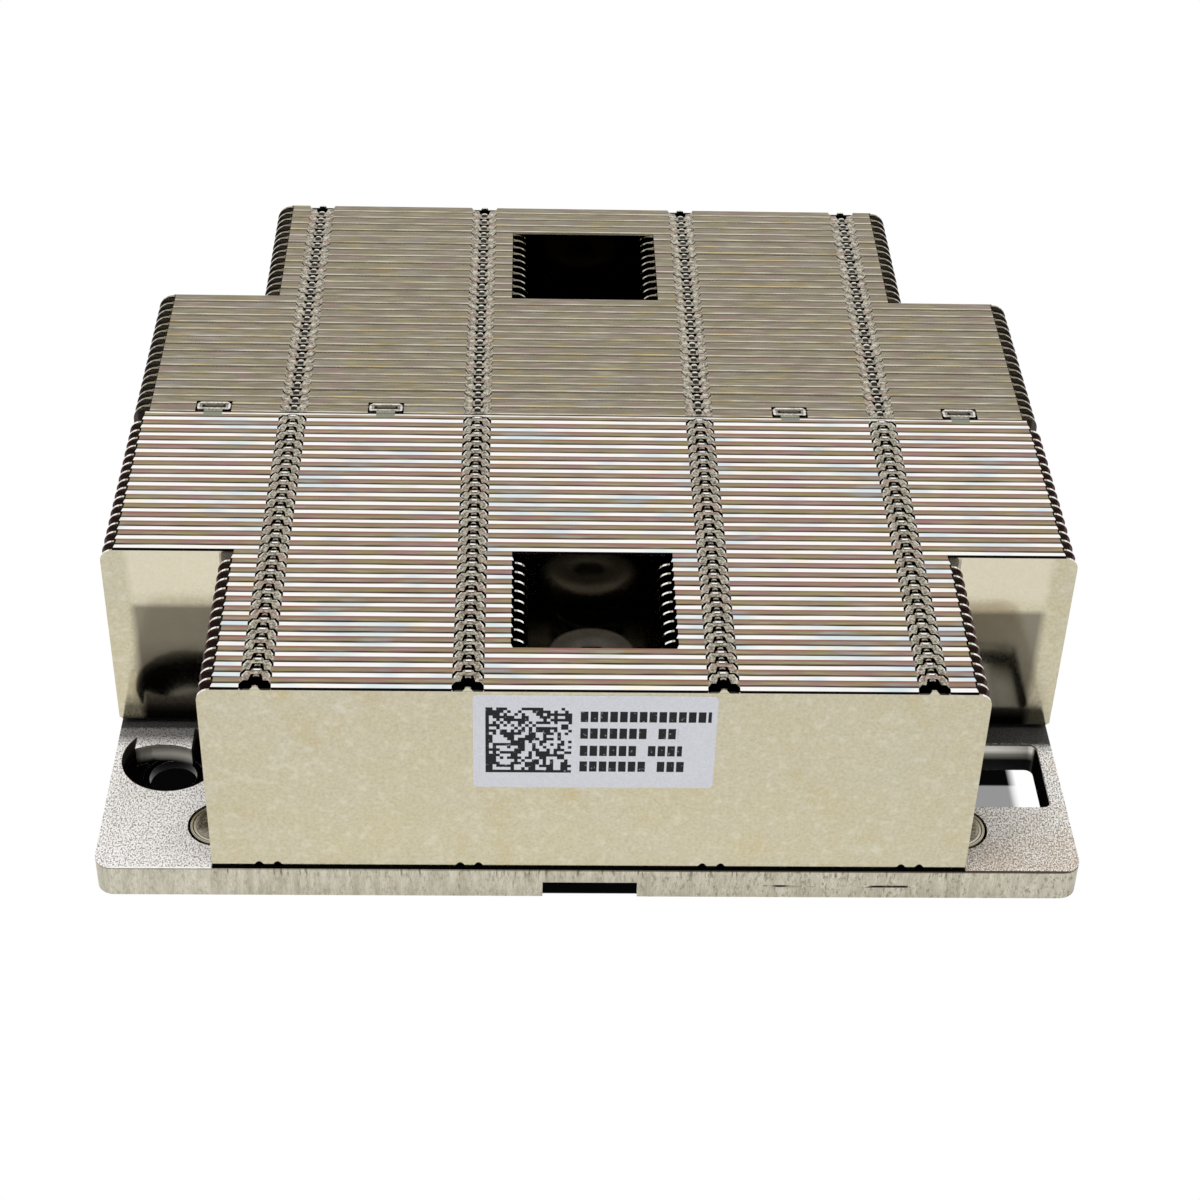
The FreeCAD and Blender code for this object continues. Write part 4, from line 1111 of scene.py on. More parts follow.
def top_notch(path, fins, column, tabs):
    """A lock notch across the top bend, with the sheet's small tongue standing in it."""
    base = path.sheet_end + path.top_radius - fins.notch_drop
    flat = path.fold_start - path.top_radius
    end = FIN_PITCH + fins.sheet + 0.1 * MM if tabs else fins.notch_shoulder + 0.3 * MM
    half = [(fins.notch_base, base), (fins.notch_base, flat + 0.45 * MM),
            (fins.notch_wide, flat + fins.notch_shoulder),
            (fins.notch_neck, flat + fins.notch_shoulder),
            (fins.notch_end, flat + end - 0.1 * MM), (fins.notch_end * 0.8, flat + end)]
    tongue = arc(column, base, fins.tongue, fins.notch_drop * 0.95, 180, 0, 10)
    return mirrored(column, half) + tongue


def foot_notch(path, fins, column):
    """The small notch at the foot of the sheet, with its half-round bump."""
    base = path.sheet_start - path.foot_radius + fins.foot_notch
    end = path.foot_end - 0.5 * MM
    bump = arc(column, base, fins.tongue, fins.foot_notch, 360, 180, 8)
    half = [(-fins.notch_base * 0.9, base), (-fins.notch_base * 0.8, path.foot_end),
            (-fins.notch_end, end)]
    return mirrored(column, half) + bump


def is_inside(point, loops):
    """Whether a point lies within the outer loop and in none of the holes."""
    crossings = 0
    for loop in loops:
        for (x, y), (next_x, next_y) in zip(loop, loop[1:] + loop[:1]):
            if (y > point.y) != (next_y > point.y):
                share = (point.y - y) / (next_y - y)
                crossings += point.x < x + share * (next_x - x)
    return crossings % 2 == 1


def fin_loops(path, fins, left, right, columns, tabs, hooks, hook_gaps):
    """A fin's flat outline, and the notches, slits and gaps that are cut from it."""
    loops = [fin_outline(path, fins, left, right, columns, columns if tabs else (), hooks)]
    for column in columns:
        loops.append(top_notch(path, fins, column, tabs))
        if not path.skirt:
            loops.append(foot_notch(path, fins, column))
    slit = path.end + fins.slit_place
    for hook in hooks:
        loops.append(rectangle(hook - fins.slit_half, hook + fins.slit_half,
                               slit - fins.slit_depth / 2, slit + fins.slit_depth / 2))
    half = fins.hook_half + fins.lock_gap
    for hook, depth in hook_gaps:
        loops.append(rectangle(hook - half, hook + half, path.end - depth,
                               path.end - 0.02 * MM))
    return loops


def flat_sheet(path, loops):
    """A flat sheet with the outer loop's outline and the other loops cut out, creased."""
    points, edges = [], []
    for loop in loops:
        first = len(points)
        points += [Vector(point) for point in loop]
        edges += [(first + turn, first + (turn + 1) % len(loop)) for turn in range(len(loop))]
    inside_only, apart = 1, 1e-7
    flat_points, _, faces, *_ = delaunay_2d_cdt(points, edges, [], inside_only, apart)
    flat = bmesh.new()
    corners = [flat.verts.new((point.x, point.y, 0.0)) for point in flat_points]
    for face in faces:
        middle = sum((flat_points[index] for index in face), Vector((0.0, 0.0))) / len(face)
        if is_inside(middle, loops):
            flat.faces.new([corners[index] for index in face])
    bmesh.ops.delete(flat, geom=[v for v in flat.verts if not v.link_faces], context="VERTS")
    straight = 0.01
    bmesh.ops.dissolve_limit(flat, angle_limit=straight, verts=flat.verts, edges=flat.edges)
    for crease in path.creases():
        bmesh.ops.bisect_plane(flat, geom=flat.verts[:] + flat.edges[:] + flat.faces[:],
                               dist=1e-8, plane_co=(0, crease, 0), plane_no=(0, 1, 0))
    flat.verts.index_update()
    return flat


def folded_place(path, fins, columns, flat_place, depth):
    """Where a place on the flat sheet lies once it is folded; the tongues stay upright."""
    across, along = flat_place.x, flat_place.y
    tongue_base = path.sheet_end + path.top_radius - fins.notch_drop
    on_tongue = (tongue_base < along < tongue_base + fins.notch_drop
                 and any(abs(across - column) < fins.tongue * 1.02 for column in columns))
    if on_tongue:
        return across, depth, path.height - path.top_radius + along - path.sheet_end
    return across, *path.point(along, depth)


def fold_fin(name, path, fins, left, right, columns, tabs=True, hooks=(), hook_gaps=()):
    """A fin as one closed solid, cut flat and then folded along its section."""
    flat = flat_sheet(path, fin_loops(path, fins, left, right, columns, tabs, hooks, hook_gaps))
    folded = bmesh.new()
    outer, inner = ([folded.verts.new(folded_place(path, fins, columns, vertex.co, depth))
                     for vertex in flat.verts] for depth in (0.0, path.sheet))
    for face in flat.faces:
        order = [vertex.index for vertex in face.verts]
        folded.faces.new([outer[index] for index in order])
        folded.faces.new([inner[index] for index in reversed(order)])
    for edge in flat.edges:
        if len(edge.link_faces) == 1:
            first, second = edge.verts[0].index, edge.verts[1].index
            folded.faces.new((outer[first], outer[second], inner[second], inner[first]))
    flat.free()
    bmesh.ops.recalc_face_normals(folded, faces=folded.faces)
    return smooth(mesh_object(name, folded), 40)


def fin_row_tree():
    """Geometry Nodes: one fin repeated along the stack, each a touch out of line."""
    nodes = bpy.data.node_groups.new("fin_row", "GeometryNodeTree")
    new_socket = nodes.interface.new_socket
    for title, kind in (("Geometry", "Geometry"), ("Fin", "Object"), ("Count", "Int"),
                        ("First", "Vector"), ("Pitch", "Float"), ("Turn", "Float"),
                        ("Unevenness", "Float"), ("Seed", "Int"), ("Material", "Material")):
        new_socket(title, in_out="INPUT", socket_type="NodeSocket" + kind)
    new_socket("Geometry", in_out="OUTPUT", socket_type="NodeSocketGeometry")
    tree = Tree(nodes)
    given = tree.values("NodeGroupInput")

    def vector(**parts):
        return tree.values("ShaderNodeCombineXYZ", parts)["Vector"]

    ahead = vector(Y=given["Unevenness"], Z=given["Unevenness"])
    back = tree.values("ShaderNodeVectorMath", {0: ahead, "Scale": -1.0},
                       operation="SCALE")["Vector"]
    offset = tree.node("FunctionNodeRandomValue", {"Min": back, "Max": ahead,
                                                   "Seed": given["Seed"]},
                       data_type="FLOAT_VECTOR").outputs["Value"]
    line = tree.values("GeometryNodeMeshLine", {
        "Count": given["Count"], "Start Location": given["First"],
        "Offset": vector(Y=given["Pitch"])})["Mesh"]
    shifted = tree.values("GeometryNodeSetPosition", {"Geometry": line,
                                                      "Offset": offset})["Geometry"]
    fin = tree.values("GeometryNodeObjectInfo", {"Object": given["Fin"]})["Geometry"]
    copies = tree.values("GeometryNodeInstanceOnPoints", {
        "Points": shifted, "Instance": fin, "Rotation": vector(Z=given["Turn"])})["Instances"]
    real = tree.values("GeometryNodeRealizeInstances", {"Geometry": copies})["Geometry"]
    painted = tree.values("GeometryNodeSetMaterial", {
        "Geometry": real, "Material": given["Material"]})["Geometry"]
    tree.feed(tree.node("NodeGroupOutput").inputs["Geometry"], painted)
    return nodes


def run_tree(name, tree, values):
    """Evaluates a Geometry Nodes tree with named inputs, and returns a plain mesh object."""
    host = new_object(name, bpy.data.meshes.new(name))
    modifier = host.modifiers.new("pattern", "NODES")
    modifier.node_group = tree
    for item in tree.interface.items_tree:
        if item.in_out == "INPUT" and item.name in values:
            modifier[item.identifier] = values[item.name]
    return settle(host)


def join(name, pieces):
    """Joins mesh objects into one new object."""
    work = bmesh.new()
    for piece in pieces:
        work.from_mesh(piece.data)
    joined = mesh_object(name, work)
    for piece in pieces:
        bpy.data.objects.remove(piece)
    return joined


def fin_nodes(end):
    """Names of the packed fin nodes in one half of the stack."""
    numbers = [*range(1, NARROW_FINS + 1), *range(WIDE_START + 1, HALF_FINS + 1)]
    singles = ["%s_fin_%02d" % (end, number) for number in numbers]
    return singles + ["%s_left_window_fins" % end, "%s_right_window_fins" % end]


def fin_kinds(fins, rear):
    """One fin of each kind that a half of the stack has."""
    window_half = -WINDOW_HIGH.x
    narrow, wide = NARROW_HIGH.x, WIDE_HIGH.x
    outer, inner = narrow - fins.lock_inset, window_half + fins.lock_inset
    columns = (-outer, -inner, inner, outer)
    hooks = (fins.hook_inset - wide, -(inner + outer) / 2, (inner + outer) / 2,
             wide - fins.hook_inset)
    # The hooks reach over the first rear fin and into the second.
    reach = fins.hook_reach + fins.lock_gap - 2 * (FIN_PITCH - FoldPath(fins).reach)
    path, outermost = FoldPath(fins, rear), FoldPath(fins, rear, fins.skirt)
    return {
        "first": fold_fin("first_fin", outermost, fins, -narrow, narrow, columns),
        "narrow": fold_fin("narrow_fin", path, fins, -narrow, narrow, columns),
        "left": fold_fin("left_fin", path, fins, -narrow, -window_half, columns[:2]),
        "right": fold_fin("right_fin", path, fins, window_half, narrow, columns[2:]),
        "wide": fold_fin("wide_fin", path, fins, -wide, wide, columns),
        "near": fold_fin("near_fin", path, fins, -wide, wide, columns, hook_gaps=[
            (hook, reach - FIN_PITCH) for hook in hooks if rear]),
        "last": fold_fin("last_fin", path, fins, -wide, wide, columns, tabs=False,
                         hooks=() if rear else hooks,
                         hook_gaps=[(hook, min(reach, 1.5 * MM)) for hook in hooks if rear]),
    }


# Rows of like fins, from the end of a half to its middle: kind, first fin's place, count.
FIN_ROWS = (("first", 0, 1), ("narrow", 1, NARROW_FINS - 1),
            ("left", NARROW_FINS, WINDOW_FINS), ("right", NARROW_FINS, WINDOW_FINS),
            ("wide", WIDE_START, WIDE_FINS - 2), ("near", HALF_FINS - 2, 1),
            ("last", HALF_FINS - 1, 1))


def make_fins(end):
    """One half of the stack, from rows of each kind of fin."""
    fins = bpy.context.scene.heatsink_fins
    rear = end == "rear"
    kinds = fin_kinds(fins, rear)
    tree = fin_row_tree()
    way = -1.0 if rear else 1.0
    pieces = []
    for seed, (kind, start, count) in enumerate(FIN_ROWS):
        first = -way * (STACK_HALF - start * FIN_PITCH)
        values = {"Fin": kinds[kind], "Count": count, "First": (0.0, first, SPREADER_HIGH.z),
                  "Pitch": way * FIN_PITCH, "Turn": math.pi if rear else 0.0,
                  "Unevenness": fins.jitter, "Seed": seed + (10 if rear else 0),
                  "Material": finish_of("fin")}
        pieces.append(run_tree("%s_row_%s" % (kind, end), tree, values))
    piece = smooth(join("folded_fins_" + end, pieces), 40)
    for fin in kinds.values():
        bpy.data.objects.remove(fin)
    dress(piece, "fin", BODY, "plated_fin", *fin_nodes(end))


class HEATSINK_OT_front_fins(bpy.types.Operator):
    """Builds the front half of the stack of folded fins."""

    bl_idname = "heatsink.front_fins"
    bl_label = "Front fins"

    def execute(self, context):
        make_fins("front")
        return {"FINISHED"}


class HEATSINK_OT_rear_fins(bpy.types.Operator):
    """Builds the rear half of the stack of folded fins."""

    bl_idname = "heatsink.rear_fins"
    bl_label = "Rear fins"

    def execute(self, context):
        make_fins("rear")
        return {"FINISHED"}


# ---------------------------------------------------------------- frame and spreader


def frame_places(sizes):
    """Places in the frame: seat, posts, pockets and guide openings."""
    half_width, half_depth = FRAME_HIGH.x, FRAME_HIGH.y
    seat = (half_width - sizes.seat_side, half_depth - sizes.seat_end)
    posts = [(side * (seat[0] + sizes.post_outset), end * (seat[1] - sizes.post_inset))
             for side in (-1, 1) for end in (-1, 1)]
    block_front = -WIDE_LOW.y
    pocket = (half_width - sizes.pocket_wall - sizes.pocket,
              block_front + sizes.pocket_gap + sizes.pocket)
    guide = (half_width - sizes.guide_wall - sizes.guide_width / 2,
             block_front + sizes.guide_gap + sizes.guide_depth / 2)
    return seat, posts, pocket, guide


def ear_outline(sizes, seat, post, margin):
    """The ear that carries a post, with a margin round it."""
    side = 1 if post[0] > 0 else -1
    ends = sorted((side * (seat[0] - sizes.ear), post[0] + side * (sizes.ear_reach + margin)))
    return rectangle(ends[0], ends[1], post[1] - sizes.ear_half - margin,
                     post[1] + sizes.ear_half + margin)


def tongue_outline(sizes, across, centre, way):
    """The tongue behind a pocket's centre, its front edge hollowed in an arc."""
    half, hollow = sizes.tongue_half, sizes.tongue_hollow
    radius = (half * half + hollow * hollow) / (2 * hollow)
    spread = math.degrees(math.asin(half / radius))
    edge = arc(0.0, sizes.tongue_start + hollow - radius, radius, radius,
               90 + spread, 90 - spread, 10)
    outline = [*edge, (half, 2 * sizes.pocket), (-half, 2 * sizes.pocket)]
    return [(across - way * x, centre - way * y) for x, y in outline]


def pocket_cuts(sizes, pocket, way):
    """A round pocket's hollow, which leaves its tongue, and the stepped hole in its floor."""
    low, high = FRAME_LOW.z, FRAME_HIGH.z
    centre = (way * pocket[0], way * pocket[1])
    floor = low + sizes.pocket_floor
    hollow = prism("pocket", circle(*centre, sizes.pocket, 64), floor, high + PAST)
    shift = centre[0] + way * sizes.tongue_shift
    tongue = prism("tongue", tongue_outline(sizes, shift, centre[1], way),
                   low - PAST, high + 2 * PAST)
    combine(hollow, [tongue], "DIFFERENCE")
    rim = prism("rim", circle(*centre, sizes.pocket_hole + sizes.pocket_hole_rim),
                floor - sizes.pocket_step, floor + 0.1 * MM)
    hole = prism("hole", circle(*centre, sizes.pocket_hole), low - PAST, floor + 0.1 * MM)
    return [hollow, rim, hole]


def guide_cut(sizes, guide, way):
    """The guide opening right through the frame."""
    across, along = -way * guide[0], way * guide[1]
    return prism("guide", rectangle(
        across - sizes.guide_width / 2, across + sizes.guide_width / 2,
        along - sizes.guide_depth / 2, along + sizes.guide_depth / 2,
        sizes.guide_corner), FRAME_LOW.z - PAST, FRAME_HIGH.z + PAST)


def notch_cut(sizes, way):
    """The notch under the frame's front or rear edge."""
    ends = sorted((way * (FRAME_HIGH.y + PAST), way * (FRAME_HIGH.y - sizes.notch_depth)))
    return prism("notch", rectangle(-sizes.notch_half, sizes.notch_half, *ends),
                 FRAME_LOW.z - PAST, FRAME_LOW.z + sizes.notch_height)


class HEATSINK_OT_frame(bpy.types.Operator):
    """Builds the cast mounting frame with its softened edges."""

    bl_idname = "heatsink.frame"
    bl_label = "Cast frame"

    def execute(self, context):
        sizes = context.scene.heatsink_frame
        seat, posts, pocket, guide = frame_places(sizes)
        low, high = FRAME_LOW.z, FRAME_HIGH.z
        plate = prism("cast_frame", rectangle(FRAME_LOW.x, FRAME_HIGH.x, FRAME_LOW.y,
                                              FRAME_HIGH.y, sizes.corner, 8), low, high)
        cuts = [prism("seat", rectangle(-seat[0], seat[0], -seat[1], seat[1], 0.6 * MM),
                      low - PAST, high + PAST)]
        for post in posts:
            cuts.append(prism("ear", ear_outline(sizes, seat, post, sizes.seat_gap),
                              low - PAST, low + sizes.ear))
            cuts.append(prism("post", circle(*post, sizes.post + sizes.post_gap),
                              low - PAST, high + PAST))
        for way in (-1, 1):
            cuts += pocket_cuts(sizes, pocket, way)
            cuts += [guide_cut(sizes, guide, way), notch_cut(sizes, way)]
        combine(plate, cuts, "DIFFERENCE")
        soften(plate, sizes.edge, 3)
        dress(plate, "cast", BODY, "cast_frame", "mounting_frame")
        return {"FINISHED"}


class HEATSINK_OT_spreader(bpy.types.Operator):
    """Builds the heat spreader with its pedestal, ears and staked posts."""

    bl_idname = "heatsink.spreader"
    bl_label = "Heat spreader"

    def execute(self, context):
        sizes, screws = context.scene.heatsink_frame, context.scene.heatsink_screws
        seat, posts, _, _ = frame_places(sizes)
        low, high = FRAME_LOW.z, SPREADER_HIGH.z
        width, depth = seat[0] - sizes.seat_gap, seat[1] - sizes.seat_gap
        block = prism("spreader_block", rectangle(-width, width, -depth, depth, 0.5 * MM),
                      low, high)
        half_width, half_depth = sizes.pedestal_width / 2, sizes.pedestal_depth / 2
        adds = [prism("pedestal", rectangle(-half_width, half_width, -half_depth, half_depth,
                                            1.2 * MM), SPREADER_LOW.z, low + 1 * MM)]
        for post in posts:
            adds.append(prism("ear", ear_outline(sizes, seat, post, 0.0), low, low + sizes.ear))
            adds.append(prism("post", circle(*post, sizes.post), low + 0.1 * MM, FRAME_HIGH.z))
        combine(block, adds, "UNION")
        cuts = []
        well = (CLIP_HIGH.x - CLIP_LOW.x) / 2 + screws.well_gap
        for along in SCREW_ALONG.values():
            cuts.append(prism("hole", circle(0, along, screws.shank + screws.hole_gap),
                              low - PAST, high + PAST))
            cuts.append(prism("well", rectangle(-well, well, along - well, along + well,
                                                0.8 * MM), low - PAST, high - screws.clip_seat))
        combine(block, cuts, "DIFFERENCE")
        soften(block, 0.2 * MM)
        dress(block, "spreader", BODY, "plated_copper", "heat_spreader")
        return {"FINISHED"}


class HEATSINK_OT_stakes(bpy.types.Operator):
    """Builds the staked heads of the posts: a pressed ring round a rough middle."""

    bl_idname = "heatsink.stakes"
    bl_label = "Staked heads"

    def execute(self, context):
        sizes = context.scene.heatsink_frame
        _, posts, _, _ = frame_places(sizes)
        top, edge = FRAME_HIGH.z, sizes.post
        profile = ((0.0, top - 0.3 * MM), (edge * 0.98, top - 0.3 * MM), (edge * 0.98, top),
                   (edge * 0.95, top + 0.06 * MM), (edge * 0.90, top + 0.05 * MM),
                   (edge * 0.87, top - 0.04 * MM), (edge * 0.83, top - 0.06 * MM),
                   (edge * 0.79, top + 0.08 * MM), (edge * 0.70, top + 0.17 * MM),
                   (edge * 0.45, top + 0.20 * MM), (edge * 0.20, top + 0.17 * MM),
                   (0.0, top + 0.17 * MM))
        heads = [lathe("stake", profile, 48, post) for post in posts]
        piece = smooth(join("staked_heads", heads), 50)
        dress(piece, "spreader", BODY, "plated_copper")
        return {"FINISHED"}


# ---------------------------------------------------------------- screws, springs, clips


def screw_profile(sizes):
    """Profile of the screw from its tip up to the rim of its drive."""
    low, high = SCREW_LOW.z, SCREW_HIGH.z
    head = SCREW_HIGH.x
    seat = SPREADER_HIGH.z - sizes.clip_seat
    groove_low = CLIP_LOW.z - 0.1 * MM
    profile = [(0.0, low), (sizes.thread * 0.78, low), (sizes.thread * 0.95, low + 0.25 * MM)]
    turns = int((groove_low - low - 0.5 * MM) / sizes.thread_pitch)
    for turn in range(turns):
        start = low + 0.3 * MM + turn * sizes.thread_pitch
        profile += [(sizes.thread, start + 0.1 * MM),
                    (sizes.thread, start + 0.2 * MM),
                    (sizes.thread * 0.82, start + sizes.thread_pitch * 0.62),
                    (sizes.thread * 0.82, start + sizes.thread_pitch * 0.72)]
    profile += [(sizes.thread, groove_low - 0.1 * MM), (sizes.thread, groove_low),
                (sizes.groove, groove_low), (sizes.groove, seat), (sizes.shank, seat),
                (sizes.shank, high - sizes.head_height - 0.15 * MM),
                (sizes.shank + 0.2 * MM, high - sizes.head_height),
                (head - 0.3 * MM, high - sizes.head_height),
                (head, high - sizes.head_height + 0.3 * MM)]
    rim = sizes.head_round
    profile += arc(head - rim, high - rim, rim, rim, 0, 90, 6)
    profile += [(sizes.drive * 1.35, high), (sizes.drive * 1.2, high - 0.15 * MM)]
    return profile


def make_screw(end):
    """A captive screw, turned, with a hexagonal recess."""
    sizes = bpy.context.scene.heatsink_screws
    along = SCREW_ALONG[end]
    high = SCREW_HIGH.z
    profile = screw_profile(sizes) + [(0.0, high - 0.15 * MM)]
    piece = lathe("turned_screw_" + end, profile, 72, (0.0, along))
    recess = prism("drive", circle(0.0, along, sizes.drive, 6), high - sizes.drive_depth,
                   high + PAST)
    combine(piece, [recess], "DIFFERENCE")
    smooth(piece, 35)
    dress(piece, "screw", "screw_" + end, "screw_steel", "captive_screw_" + end)


def make_spring(end):
    """A compression spring of round wire."""
    sizes = bpy.context.scene.heatsink_screws
    along = SCREW_ALONG[end]
    low, high = SPRING_LOW.z + sizes.wire, SPRING_HIGH.z - sizes.wire
    coil = SPRING_HIGH.x - sizes.wire
    curve = bpy.data.curves.new("spring_line", "CURVE")
    curve.dimensions = "3D"
    curve.bevel_depth = sizes.wire * 0.96
    curve.bevel_resolution = 2
    curve.use_fill_caps = True
    line = curve.splines.new("POLY")
    steps_per_turn = 32
    steps = int(sizes.turns * steps_per_turn)
    line.points.add(steps)
    for step in range(steps + 1):
        share = step / steps
        angle = 2 * math.pi * sizes.turns * share
        line.points[step].co = (coil * math.cos(angle), along + coil * math.sin(angle),
                                low + (high - low) * share, 1.0)
    host = new_object("spring_line", curve)
    mesh = evaluated_mesh(host)
    bpy.data.objects.remove(host)
    piece = smooth(new_object("coil_spring_" + end, mesh), 60)
    dress(piece, "wire", BODY, "spring_wire", "screw_spring_" + end)
    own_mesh(piece)


def make_clip(end):
    """A slide-on clip: a rounded square with a round bore and a narrower mouth."""
    sizes = bpy.context.scene.heatsink_screws
    along = SCREW_ALONG[end]
    half = CLIP_HIGH.x
    bore = sizes.groove + 0.1 * MM
    piece = prism("slide_clip_" + end, rectangle(-half, half, along - half, along + half,
                                                 sizes.clip_corner), CLIP_LOW.z, CLIP_HIGH.z)
    mouth = bore * 0.82
    cuts = [prism("bore", circle(0, along, bore), CLIP_LOW.z - PAST, CLIP_HIGH.z + PAST),
            prism("mouth", rectangle(0, half * 2, along - mouth, along + mouth),
                  CLIP_LOW.z - PAST, CLIP_HIGH.z + PAST)]
    combine(piece, cuts, "DIFFERENCE")
    soften(piece, 0.08 * MM)
    dress(piece, "clip", "clip_" + end, "clip_steel", "retaining_clip_" + end)


class HEATSINK_OT_screws(bpy.types.Operator):
    """Builds the two captive screws with their springs and clips."""

    bl_idname = "heatsink.screws"
    bl_label = "Captive screws"

    def execute(self, context):
        for end in ("front", "rear"):
            make_screw(end)
            make_spring(end)
            make_clip(end)
        return {"FINISHED"}


# ---------------------------------------------------------------- label


class HEATSINK_OT_label(bpy.types.Operator):
    """Builds the label on the front fin."""

    bl_idname = "heatsink.label"
    bl_label = "Label"

    def execute(self, context):
        corner = 0.5 * MM
        outline = rectangle(LABEL_LOW.x, LABEL_HIGH.x, LABEL_LOW.z, LABEL_HIGH.z, corner, 4)
        thick = LABEL_HIGH.y - LABEL_LOW.y
        piece = prism("paper_label", outline, 0.0, thick)
        piece.data.transform(Matrix.Rotation(math.pi / 2, 4, "X"))
        piece.data.transform(Matrix.Translation((0.0, LABEL_HIGH.y, 0.0)))
        soften(piece, 0.02 * MM, 1)
        dress(piece, "label", BODY, "label_paper", "part_label")
        return {"FINISHED"}


# ---------------------------------------------------------------- stage


def make_floor(finish, sizes):
    """A plain floor that is seen white, with shade painted dark under the frame."""
    side, dark = 3.0, (0.002, 0.002, 0.002)
    piece = new_object("floor", bpy.data.meshes.new("floor"))
    corners = [(x, y, 0) for x, y in rectangle(-side, side, -side, side)]
    piece.data.from_pydata(corners, [], [(0, 1, 2, 3)])
    skin = Surface("plain_floor")
    across, along, _ = skin.split(skin.place)
    # Only below the front pocket, on the left, does the painted shade reach further out.
    pocket = (across < 0.0) * (along < WIDE_LOW.y)
    sideways = abs(across) - pocket * (2.4 * MM)
    shade = (sideways.short_of(FRAME_HIGH.x, 3.4, 4.4)
             * abs(along).short_of(FRAME_HIGH.y, 1.9, 2.0))
    # Painted light falls through the guide opening, more of it towards the outer side.
    lit = WIDE_LOW.y - sizes.guide_gap - sizes.guide_depth + 9.6 * MM
    light = (along.span(lit + 0.15 * MM, lit - 0.15 * MM)
             * across.short_of(FRAME_HIGH.x, 4.6, 3.2, 0.30, 0.85)
             * (across > SPREADER_HIGH.x - 4 * MM))
    shade = shade * (1.0 - light)
    piece.data.materials.append(skin.finish({
        "Base Color": skin.mix(shade, finish.floor, dark), "Roughness": 0.9,
        "Specular IOR Level": 0.1}))
    seen = skin.values("ShaderNodeEmission", {
        "Color": skin.mix(shade, (1.0, 1.0, 1.0), dark), "Strength": 1.0})["Emission"]
    camera = skin.values("ShaderNodeLightPath")["Is Camera Ray"]
    above = skin.values("ShaderNodeMixShader", {
        0: camera, 1: skin.principled.outputs["BSDF"], 2: seen})["Shader"]
    # Seen from below it is clear, and light passes where the part stands, so that the
    # underside can be looked at.
    clear = skin.values("ShaderNodeBsdfTransparent")["BSDF"]
    passing = skin.values("ShaderNodeNewGeometry")["Backfacing"] | shade * (1.0 - camera)
    sided = skin.values("ShaderNodeMixShader", {0: passing, 1: above, 2: clear})["Shader"]
    skin.feed(skin.nodes.nodes["Material Output"].inputs["Surface"], sided)


def make_world():
    """A plain soft surround: white where it is seen, a little dimmer where it lights."""
    world = bpy.data.worlds.new("soft_surround")
    world.use_nodes = True
    bpy.context.scene.world = world
    world.node_tree.nodes.clear()
    tree = Tree(world.node_tree)
    path = tree.values("ShaderNodeLightPath")
    seen = path["Is Camera Ray"] | path["Is Glossy Ray"] | path["Is Transmission Ray"]
    dim, white = (tree.values("ShaderNodeBackground", {
        "Color": (1.0, 1.0, 1.0), "Strength": strength})["Background"] for strength in (0.2, 1.0))
    both = tree.values("ShaderNodeMixShader", {0: seen, 1: dim, 2: white})["Shader"]
    tree.feed(tree.node("ShaderNodeOutputWorld").inputs["Surface"], both)


def make_lamp(name, place, aim, size, power):
    """A round soft lamp that is turned to its aim and not mirrored in metal."""
    lamp = bpy.data.lights.new(name, "AREA")
    lamp.shape = "DISK"
    lamp.size = size
    lamp.energy = power
    holder = new_object(name, lamp)
    holder.location = place
    holder.rotation_euler = (Vector(aim) - Vector(place)).to_track_quat("-Z", "Y").to_euler()
    holder.visible_glossy = False


def make_camera(camera):
    """The camera from its place and its three angles."""
    data = bpy.data.cameras.new("view")
    data.sensor_width = 36.0
    data.lens = data.sensor_width / 2 / math.tan(camera.view / 2)
    data.clip_start, data.clip_end = 0.01, 20.0
    holder = new_object("view", data)
    turn, down = camera.turn, camera.down
    forward = Vector((math.sin(turn) * math.cos(down), math.cos(turn) * math.cos(down),
                      -math.sin(down)))
    right = Vector((math.cos(turn), -math.sin(turn), 0.0))
    up = right.cross(forward)
    rolled_right = math.cos(camera.roll) * right + math.sin(camera.roll) * up
    rolled_up = math.cos(camera.roll) * up - math.sin(camera.roll) * right
    pose = Matrix((rolled_right, rolled_up, -forward)).transposed().to_4x4()
    pose.translation = camera.place
    holder.matrix_world = pose
    bpy.context.scene.camera = holder


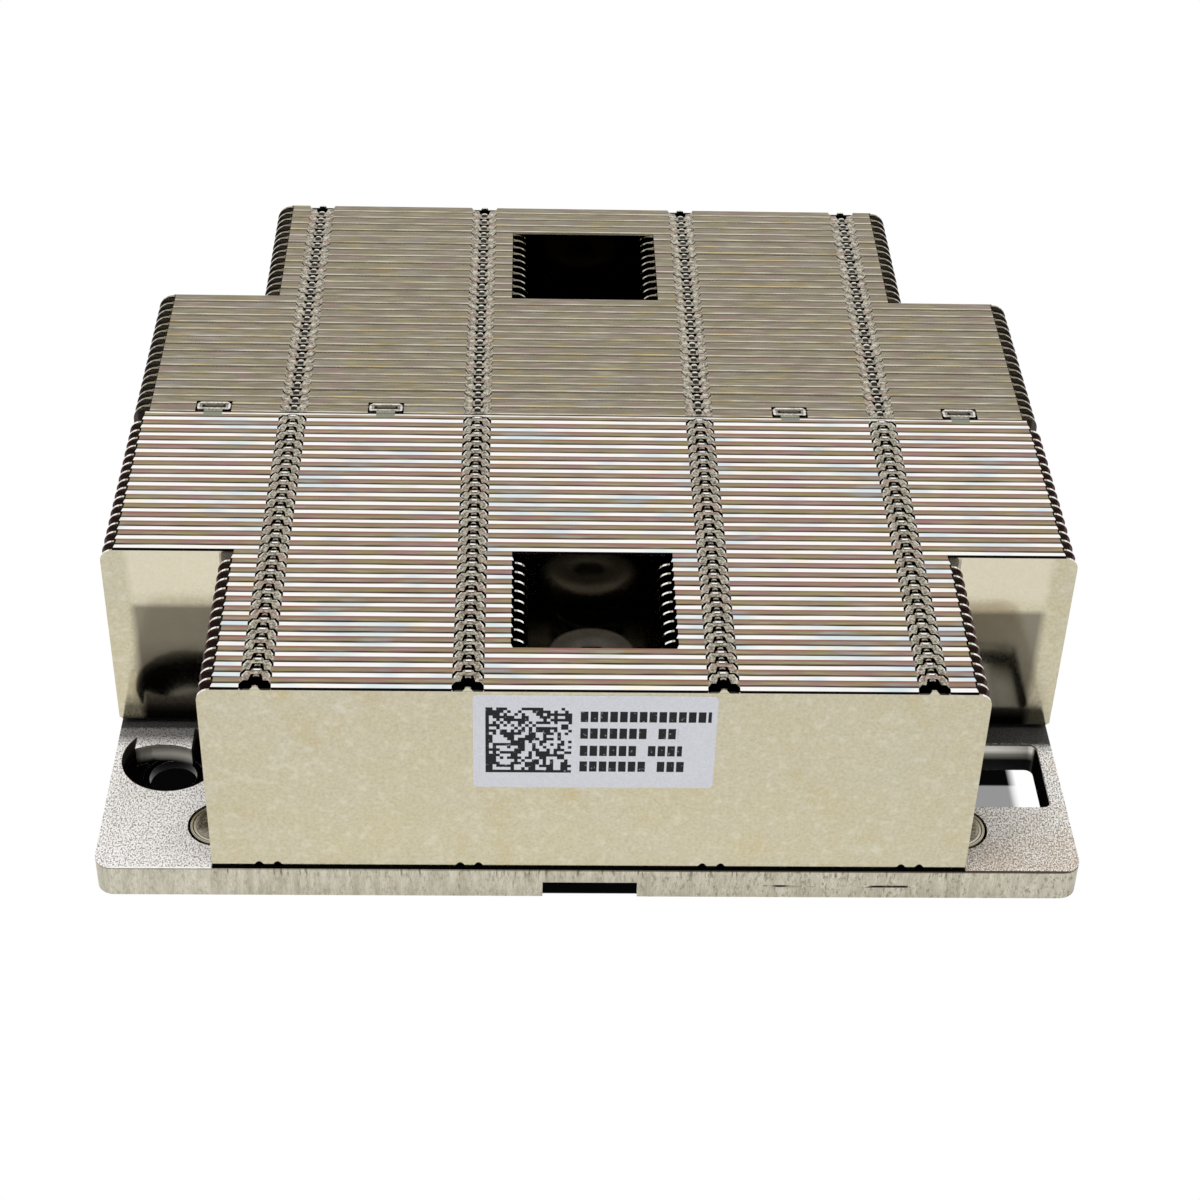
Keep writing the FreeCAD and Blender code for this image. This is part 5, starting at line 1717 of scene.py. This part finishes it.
class HEATSINK_OT_stage(bpy.types.Operator):
    """Sets the plain floor, the soft light and the camera."""

    bl_idname = "heatsink.stage"
    bl_label = "Stage"

    def execute(self, context):
        scene = context.scene
        make_floor(scene.heatsink_finishes, scene.heatsink_frame)
        make_world()
        make_lamp("soft_top", (-0.2, -0.2, 1.5), (0.0, 0.0, 0.0), 1.2, 22.0)
        make_camera(scene.heatsink_camera)
        scene.view_settings.view_transform = "Standard"
        return {"FINISHED"}


# ---------------------------------------------------------------- add-on


class HEATSINK_PT_panel(bpy.types.Panel):
    """Lists the heatsink's pieces and their sizes."""

    bl_label = "Heatsink"
    bl_idname = "HEATSINK_PT_panel"
    bl_space_type = "VIEW_3D"
    bl_region_type = "UI"
    bl_category = "Heatsink"

    def draw(self, context):
        for operator in OPERATORS:
            self.layout.operator(operator.bl_idname)
        for name, settings in SETTINGS.items():
            box = self.layout.box()
            box.label(text=settings.__doc__)
            for entry in settings.__annotations__:
                box.prop(getattr(context.scene, name), entry)


OPERATORS = (HEATSINK_OT_stage, HEATSINK_OT_frame, HEATSINK_OT_spreader, HEATSINK_OT_stakes,
             HEATSINK_OT_front_fins, HEATSINK_OT_rear_fins, HEATSINK_OT_screws,
             HEATSINK_OT_label)


def register():
    """Registers the settings, the operators and the panel."""
    for settings in SETTINGS.values():
        bpy.utils.register_class(settings)
    for name, settings in SETTINGS.items():
        setattr(bpy.types.Scene, name, bpy.props.PointerProperty(type=settings))
    for operator in OPERATORS:
        bpy.utils.register_class(operator)
    bpy.utils.register_class(HEATSINK_PT_panel)


def unregister():
    """Takes them out again."""
    bpy.utils.unregister_class(HEATSINK_PT_panel)
    for operator in reversed(OPERATORS):
        bpy.utils.unregister_class(operator)
    for name, settings in SETTINGS.items():
        delattr(bpy.types.Scene, name)
        bpy.utils.unregister_class(settings)


def main():
    register()
    bpy.ops.heatsink.stage()
    bpy.ops.heatsink.frame()
    bpy.ops.heatsink.spreader()
    bpy.ops.heatsink.stakes()
    bpy.ops.heatsink.front_fins()
    bpy.ops.heatsink.rear_fins()
    bpy.ops.heatsink.screws()
    bpy.ops.heatsink.label()


if __name__ == "__main__":
    main()
